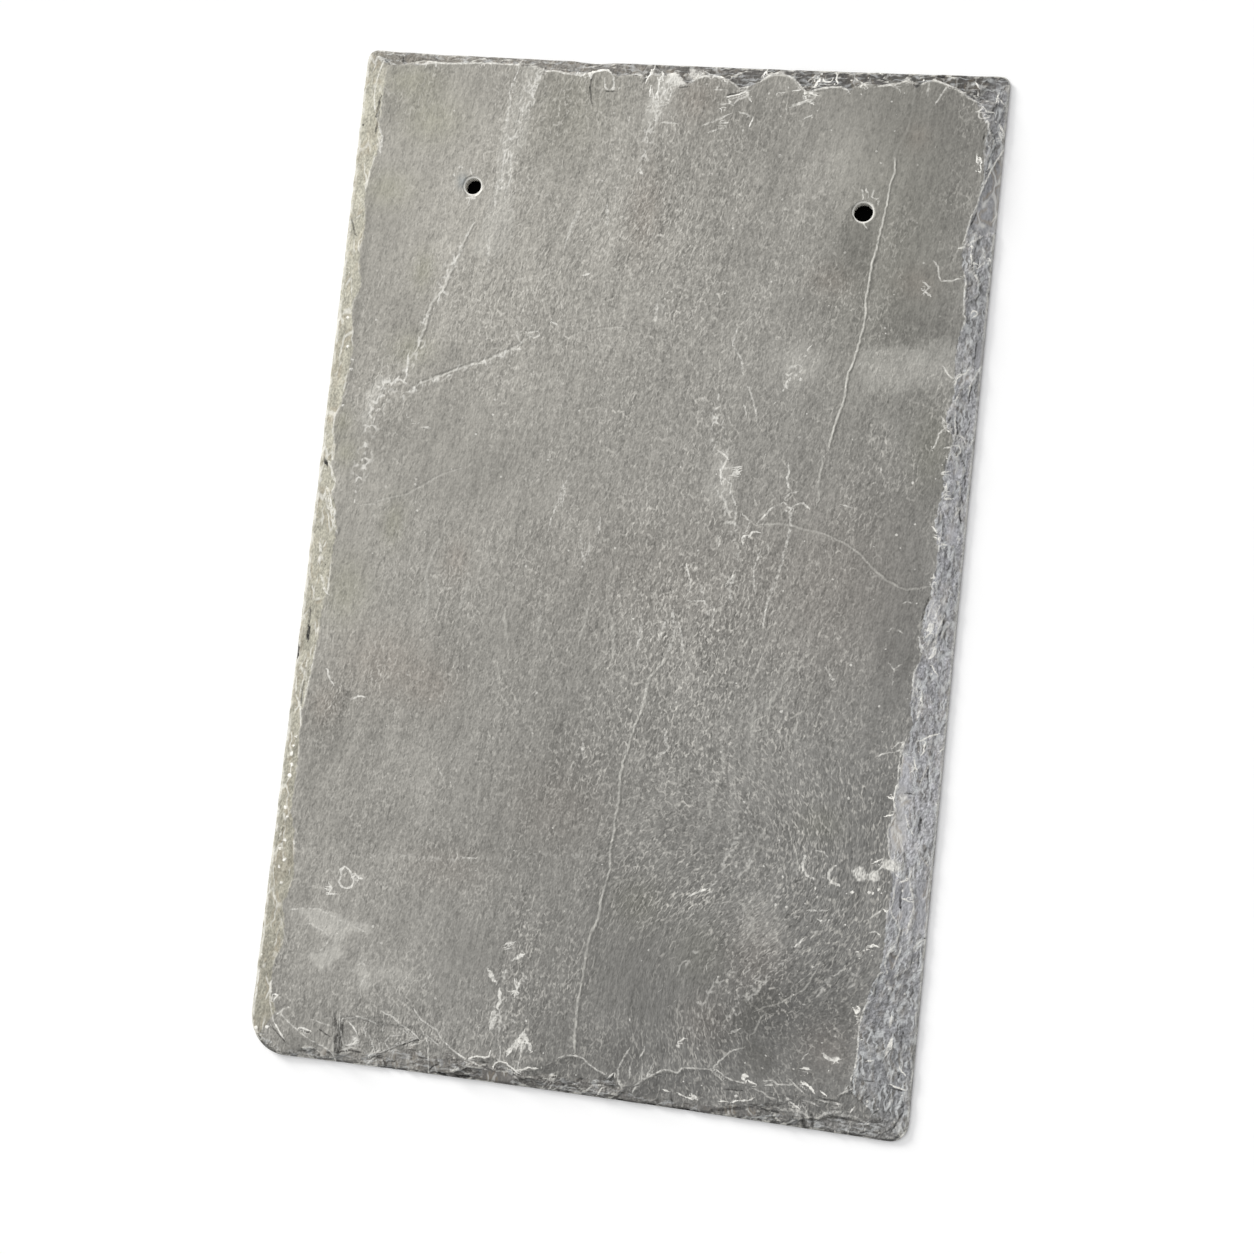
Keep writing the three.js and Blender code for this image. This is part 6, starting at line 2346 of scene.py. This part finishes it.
    def _trim(self, x: Array, y: Array) -> tuple[Array, Array]:
        """Moves points of the full rectangle so that its border lies on the cut line.

        Args:
            x: the points' first coordinate.
            y: their second coordinate.

        Returns:
            Their new coordinates.
        """
        half = (self.outline.width / 2, self.outline.length / 2)
        for side in Side:
            radius = self.outline.dressings[side].corner_rim
            x, y = round_corner(x, y, side.corner_of(*half), radius)
        moved_x, moved_y = x.copy(), y.copy()
        for side in Side:
            bow = self.outline.bow(side, self.outline.along(side, x, y))
            near = 1.0 - smoothstep(self.outline.inset(side, x, y) + bow, 0.0, self.bow_fade)
            moved = moved_y if side.runs_along_x else moved_x
            moved -= near * bow * side.outward
        return moved_x, moved_y

    def _refine_flecks(self, slab: bmesh.types.BMesh) -> None:
        """Cuts the face finer where small bright flecks lie.

        Args:
            slab: the slab, so far flat.
        """
        middles = np.array([face.calc_center_median()[:2] for face in slab.faces])
        close = TraceField.of(FLECKS, *middles.T).away < 0.8 * self.plain_pitch
        edges = set()
        for face, near in zip(slab.faces, close):
            if near and min(edge.calc_length() for edge in face.edges) > 0.6 * self.plain_pitch:
                edges.update(face.edges)
        bmesh.ops.subdivide_edges(slab, edges=list(edges), cuts=2, use_grid_fill=True)
        LOG.info("flecks: %d edges cut", len(edges))

    def _is_rim(self, edge: bmesh.types.BMEdge) -> bool:
        """Whether an open edge lies on the cut line and not round a nail hole."""
        middle = (edge.verts[0].co + edge.verts[1].co) / 2
        return all(math.hypot(middle.x - hole.x, middle.y - hole.y) > 2 * self.window for hole in self.holes)

    @staticmethod
    def _extrude(slab: bmesh.types.BMesh, edges: list[bmesh.types.BMEdge], level: float) -> list:
        """Extrudes open edges to a level of the slab.

        Args:
            slab: the slab.
            edges: its open edges.
            level: z of the new edges.

        Returns:
            The new open edges.
        """
        made = bmesh.ops.extrude_edge_only(slab, edges=edges)["geom"]
        for vert in (item for item in made if isinstance(item, bmesh.types.BMVert)):
            vert.co.z = level
        return [item for item in made if isinstance(item, bmesh.types.BMEdge) and item.is_boundary]

    def _open(self, slab: bmesh.types.BMesh, hole: NailHole) -> None:
        """Opens a nail hole: a window in the grid, narrowed by round rings to the bore.

        Args:
            slab: the slab.
            hole: the nail hole.
        """
        centre = Vector((hole.x, hole.y, 1.0))
        inside = [
            face
            for face in slab.faces
            if max(abs(value) for value in (face.calc_center_median() - centre).xy) < self.window
        ]
        bmesh.ops.delete(slab, geom=inside, context="FACES")
        edges = [
            edge
            for edge in slab.edges
            if edge.is_boundary and (edge.verts[0].co - centre).xy.length < 2 * self.window
        ]
        edges = bmesh.ops.subdivide_edges(slab, edges=edges, cuts=1)["geom_split"]
        edges = [item for item in edges if isinstance(item, bmesh.types.BMEdge) and item.is_boundary]
        for gap in self.rings:
            edges = self._extrude(slab, edges, 1.0)
            for vert in {vert for edge in edges for vert in edge.verts}:
                away = vert.co - centre
                vert.co = centre + away.normalized() * (hole.bore / 2 + gap)
        for level in self.bore_levels:
            edges = self._extrude(slab, edges, level)

    def _close_back(self, slab: bmesh.types.BMesh, rim: list[bmesh.types.BMEdge]) -> None:
        """Closes the back with a coarse grid and the strips between it, the rim and the bores.

        Args:
            slab: the slab, open at the back.
            rim: its open edges along the cut line.
        """
        width, length = (
            extent - 2 * self.back_margin for extent in (self.outline.width, self.outline.length)
        )
        across, along = round(width / self.back_pitch), round(length / self.back_pitch)
        before = set(slab.verts)
        bmesh.ops.create_grid(slab, x_segments=across, y_segments=along, size=1.0)
        grid = [vert for vert in slab.verts if vert not in before]
        flat = np.array([vert.co for vert in grid])
        x, y = flat[:, 0] * width / 2, flat[:, 1] * length / 2
        for side in Side:
            x, y = round_corner(x, y, side.corner_of(width / 2, length / 2), self.back_corner)
        for vert, px, py in zip(grid, x, y):
            vert.co = (px, py, 0.0)

        bores = [edge for edge in slab.edges if edge.is_boundary and not self._is_rim(edge)]
        centres = [Vector((hole.x, hole.y, 0.0)) for hole in self.holes]
        inside = [
            face
            for centre in centres
            for face in slab.faces
            if face.verts[0] not in before
            and (face.calc_center_median() - centre).xy.length < self.window
        ]
        bmesh.ops.delete(slab, geom=inside, context="FACES")
        sheet = set(grid)
        fresh = [edge for edge in slab.edges if edge.is_boundary and sheet.issuperset(edge.verts)]
        border = [edge for edge in fresh if self._is_rim(edge)]
        bmesh.ops.triangle_fill(slab, use_beauty=True, edges=rim + border)
        loops = [edge for edge in fresh if not self._is_rim(edge)] + bores
        for centre in centres:
            around = [edge for edge in loops if (edge.verts[0].co - centre).xy.length < 3 * self.window]
            bmesh.ops.triangle_fill(slab, use_beauty=True, edges=around)

    # ------------------------------------------------ relief and what the mesh carries

    def _raise(self, mesh: bpy.types.Mesh) -> None:
        """Raises the slab between the back and the weather face and notes what dresses it.

        Args:
            mesh: the slab's mesh, in millimetres on plan.
        """
        places = np.empty(len(mesh.vertices) * 3)
        mesh.vertices.foreach_get("co", places)
        x, y, level = places.reshape(-1, 3).T.copy()
        relief = Relief(self.outline, self.holes)
        top = relief.weather(x, y)
        bottom = relief.back(x, y)
        height = bottom + level * (top.height - bottom)
        solid = np.column_stack((x, y, height)) * MM
        mesh.vertices.foreach_set("co", solid.ravel())
        self._note_stone(mesh, top, (x, y, level))
        self._note_marks(mesh, top, level > self.ON_TOP)
        self._note(mesh, "cavity_mm", self._cavity(mesh, height))
        self._note(mesh, "flow", *self.weathering_and_shade.flow(x, y), height)
        self._note(mesh, "edge_tint", *self._edge_tint(x, y).T)
        mesh.update()

    def _note_stone(self, mesh: bpy.types.Mesh, top: Surface, place: tuple[Array, ...]) -> None:
        """Notes how the stone is broken at each point.

        Args:
            mesh: the tile's mesh.
            top: its weather side.
            place: the points' x, y and level.
        """
        x, y, level = place
        upper = level > self.ON_TOP
        beneath = np.where(level < self.ON_BACK, -self.OFF_TOP, self.OFF_TOP)
        self._note(mesh, "beyond_mm", np.where(upper, top.broken, beneath))
        self._note(mesh, "flake_tone", top.tone)
        self._note(mesh, "seam_mm", np.where(upper, top.seam, Relief.NO_SEAM))
        self._note(mesh, "facet", top.facet * upper)
        self._note(mesh, "loose", np.clip(top.loose, 0.0, 1.0))
        mouths = [np.hypot(x - hole.x, y - hole.y) - hole.bore / 2 - self.mouth for hole in self.holes]
        self._note(mesh, "mouth_mm", np.minimum.reduce(mouths))
        shades = np.array([self.outline.dressings[side].rim_shade for side in Side])
        rim = shades[top.climb.nearest] * (1.0 - smoothstep(top.climb.inset, *self.rim_zone))
        self._note(mesh, "rim", rim * upper)
        laminated = np.where(y > 0, self.head_laminae, 1.0)
        self._note(mesh, "lamella", top.climb.inset, top.climb.along_x, laminated)

    def _note_marks(self, mesh: bpy.types.Mesh, top: Surface, upper: Array) -> None:
        """Notes the marks, the weathering and the painted light and shade at each point.

        Args:
            mesh: the tile's mesh.
            top: its weather side.
            upper: whether each point is on that side.
        """
        fields = {
            "pale": top.pale,
            "dark": top.dark,
            "vein": TraceField.of(VEINS, *top.seen),
            "chain": TraceField.of(ROUGH_STROKES, *top.seen),
        }
        for label, trace in fields.items():
            self._note(mesh, label, trace.signed, trace.away, trace.strength * upper)
        for label, cover in self.weathering_and_shade.covers(*top.seen).items():
            self._note(mesh, label, cover * upper)
        for label, sign in (("bloom", 1), ("dark_wash", -1)):
            depth, amount = self._deepest([wash for wash in WASHES if wash.amount * sign > 0], *top.seen)
            self._note(mesh, label, depth, amount, np.zeros_like(amount))
        self._note(mesh, "lively", self.weathering_and_shade.liveliness(*top.seen))
        self._note(mesh, "face_tint", *self.weathering_and_shade.tint(*top.seen).T)

    @staticmethod
    def _deepest(washes: Sequence[Wash], x: Array, y: Array) -> tuple[Array, Array]:
        """Finds the wash that each point is deepest in.

        Args:
            washes: the washes to choose from.
            x: the points' first coordinate.
            y: their second coordinate.

        Returns:
            How deep in it they are, in widths of its border, and its amount without a sign.
        """
        depth = np.full(x.shape, -9.0)
        amount = np.zeros_like(x)
        for wash in washes:
            inside = wash.depth(x, y)
            nearer = inside > depth
            depth = np.where(nearer, inside, depth)
            amount = np.where(nearer, abs(wash.amount), amount)
        return depth, amount

    @staticmethod
    def _note(mesh: bpy.types.Mesh, label: str, *values: Array) -> None:
        """Writes one value, three values or a linear colour a vertex for the material to read.

        Args:
            mesh: the mesh.
            label: what the material calls them.
            *values: the values, one array for each.
        """
        kinds = {1: ("FLOAT", "value"), 3: ("FLOAT_VECTOR", "vector"), 4: ("FLOAT_COLOR", "color")}
        kind, part = kinds[len(values)]
        layer = mesh.attributes.new(label, kind, "POINT")
        layer.data.foreach_set(part, np.column_stack(values).astype(np.float32).ravel())

    def _edge_tint(self, x: Array, y: Array) -> Array:
        """Finds the broad tone of the broken stone, from the colours along the nearest edges.

        Args:
            x: plan coordinate.
            y: plan coordinate.

        Returns:
            A linear colour for each point.
        """
        total = np.zeros((len(x), 4))
        weights = np.zeros_like(x)
        for side, dressing in self.outline.dressings.items():
            stops = np.array([linear(shade) for shade in dressing.shades])
            places = np.linspace(0.0, 1.0, len(stops))
            along = self.outline.along(side, x, y)
            tint = np.column_stack([np.interp(along, places, channel) for channel in stops.T])
            weight = np.exp(-np.maximum(self.outline.inset(side, x, y), 0.0) / self.tint_blend) + 1e-9
            total += tint * weight[:, None]
            weights += weight
        return total / weights[:, None]

    @staticmethod
    def _cavity(mesh: bpy.types.Mesh, height: Array) -> Array:
        """Finds how far each point lies below the mean of the points round it.

        Args:
            mesh: the tile's mesh.
            height: its points' heights.

        Returns:
            The depth of each point, below 0 where it stands proud.
        """
        ends = np.empty(len(mesh.edges) * 2, np.int32)
        mesh.edges.foreach_get("vertices", ends)
        first, second = ends.reshape(-1, 2).T
        degree = np.bincount(first, minlength=len(height)) + np.bincount(second, minlength=len(height))
        smooth = height.copy()
        for _ in range(SlateTile.CAVITY_ROUNDS):
            total = np.bincount(first, smooth[second], len(height))
            total += np.bincount(second, smooth[first], len(height))
            smooth = 0.5 * smooth + 0.5 * total / np.maximum(degree, 1)
        return smooth - height


# ---------------------------------------------------------------- studio


@dataclass(frozen=True)
class Lamp:
    """A wide soft light, so far away that it shines evenly.

    Attributes:
        name: what it is called.
        level: share of the floor's brightness that it gives.
        elevation: degrees above the floor.
        softness: degrees that it spans.
        azimuth: degrees counter-clockwise from X of where it stands.
        warmth: its colour.
    """

    name: str
    level: float
    elevation: float
    softness: float
    azimuth: float = 142.0
    warmth: tuple[float, float, float] = (1.0, 0.992, 0.978)

    def build(self) -> None:
        """Makes the light."""
        lamp = bpy.data.lights.new(self.name, "SUN")
        lamp.angle = math.radians(self.softness)
        lamp.color = self.warmth
        lamp.energy = math.pi * self.level / math.sin(math.radians(self.elevation))
        stand = bpy.data.objects.new(self.name, lamp)
        azimuth, elevation = math.radians(self.azimuth), math.radians(self.elevation)
        flat = math.cos(elevation)
        towards = Vector((math.cos(azimuth) * flat, math.sin(azimuth) * flat, math.sin(elevation)))
        stand.rotation_mode = "QUATERNION"
        stand.rotation_quaternion = towards.to_track_quat("Z", "Y")
        bpy.context.scene.collection.objects.link(stand)


@dataclass(frozen=True)
class Studio:
    """Plain white floor, a low key light and a wide overhead one from the upper left, and even fill.

    Attributes:
        floor_size: the floor's extent, in metres.
        floor_drop: how far it lies below the tile, so that the two don't flicker.
        white: its colour.
        unlit: colour of the painted shade under the tile, which a nail hole shows.
        unlit_half: half sizes of that painted dark patch under the tile, along X and Y.
        sky: colour of the even fill.
        fill: strength of that fill.
        lamps: the lights.
    """

    floor_size: float = 6.0
    floor_drop: float = 0.00005
    white: str = "#ffffff"
    unlit: str = "#060606"
    unlit_half: tuple[float, float] = (0.1, 0.17)
    sky: tuple[float, float, float] = (0.975, 0.99, 1.02)
    fill: float = 0.32
    lamps: tuple[Lamp, ...] = (
        Lamp("key", level=0.28, elevation=20.0, softness=20.0),
        Lamp("overhead", level=0.42, elevation=70.0, softness=70.0),
    )

    def build(self) -> None:
        """Makes the floor and the lights."""
        sheet = bmesh.new()
        bmesh.ops.create_grid(sheet, x_segments=1, y_segments=1, size=self.floor_size / 2)
        bmesh.ops.translate(sheet, vec=(0, 0, -self.floor_drop), verts=sheet.verts)
        mesh = bpy.data.meshes.new("floor")
        sheet.to_mesh(mesh)
        sheet.free()
        floor = bpy.data.objects.new("floor", mesh)
        bpy.context.scene.collection.objects.link(floor)
        mesh.materials.append(self._paper())

        world = bpy.data.worlds.new("studio")
        bpy.context.scene.world = world
        world.use_nodes = True
        background = world.node_tree.nodes["Background"]
        background.inputs["Color"].default_value = (*self.sky, 1.0)
        background.inputs["Strength"].default_value = self.fill

        for lamp in self.lamps:
            lamp.build()

    def _paper(self) -> bpy.types.Material:
        """Makes white paper, with a near-black patch painted under the tile as the shade that a nail hole
        shows.

        Returns:
            The finished material.
        """
        material = bpy.data.materials.new("floor_paper")
        material.use_nodes = True
        tree = material.node_tree
        tree.nodes.clear()
        place = add(tree, "TexCoord").outputs["Object"]
        split = add(tree, "SeparateXYZ", {"Vector": place})
        inside = []
        for axis, half in zip("XY", self.unlit_half):
            away = add(tree, "Math", {0: split.outputs[axis]}, operation="ABSOLUTE")
            inside.append(add(tree, "Math", {0: away.outputs[0], 1: half}, operation="LESS_THAN").outputs[0])
        # Painted shade: inside this patch under the tile the paper is near black, as the gap beneath would be
        # in shade.
        under = add(tree, "Math", {0: inside[0], 1: inside[1]}, operation="MULTIPLY").outputs[0]
        colour = add(tree, "Mix", {0: under, 6: linear(self.white), 7: linear(self.unlit)}, data_type="RGBA")
        paper = add(tree, "BsdfDiffuse", {"Color": colour.outputs[2]})
        add(tree, "OutputMaterial", {"Surface": paper.outputs["BSDF"]})
        return material


@dataclass(frozen=True)
class Viewpoint:
    """The camera, looking down on the lying tile from a little to its right.

    Attributes:
        place: where it is, in metres.
        target: a point that it looks at.
        upwards: the direction that is up in its view.
        lens: its focal length in millimetres.
        sensor: width of its sensor in millimetres.
    """

    place: tuple[float, float, float] = (0.14659, -0.07619, 0.74278)
    target: tuple[float, float, float] = (0.00357, -0.02183, 0.0025)
    upwards: tuple[float, float, float] = (-0.09387, 0.99142, 0.09094)
    lens: float = 56.81
    sensor: float = 36.0

    def build(self) -> None:
        """Makes the camera and gives it to the scene."""
        data = bpy.data.cameras.new("viewpoint")
        data.lens = self.lens
        data.sensor_width = self.sensor
        data.clip_start = 0.01
        data.clip_end = 50.0
        camera = bpy.data.objects.new("viewpoint", data)
        ahead = (Vector(self.target) - Vector(self.place)).normalized()
        right = ahead.cross(Vector(self.upwards)).normalized()
        up = right.cross(ahead)
        turn = Matrix((right, up, -ahead)).transposed().to_4x4()
        camera.matrix_world = Matrix.Translation(self.place) @ turn
        bpy.context.scene.collection.objects.link(camera)
        bpy.context.scene.camera = camera


def main() -> None:
    """Builds the camera, the studio and the tile."""
    logging.basicConfig(level=logging.INFO)
    bpy.context.scene.view_settings.view_transform = "Standard"
    Viewpoint().build()
    Studio().build()
    tile = SlateTile().build()
    LOG.info("%s: %d faces", tile.name, len(tile.data.polygons))


if __name__ == "__main__":
    main()
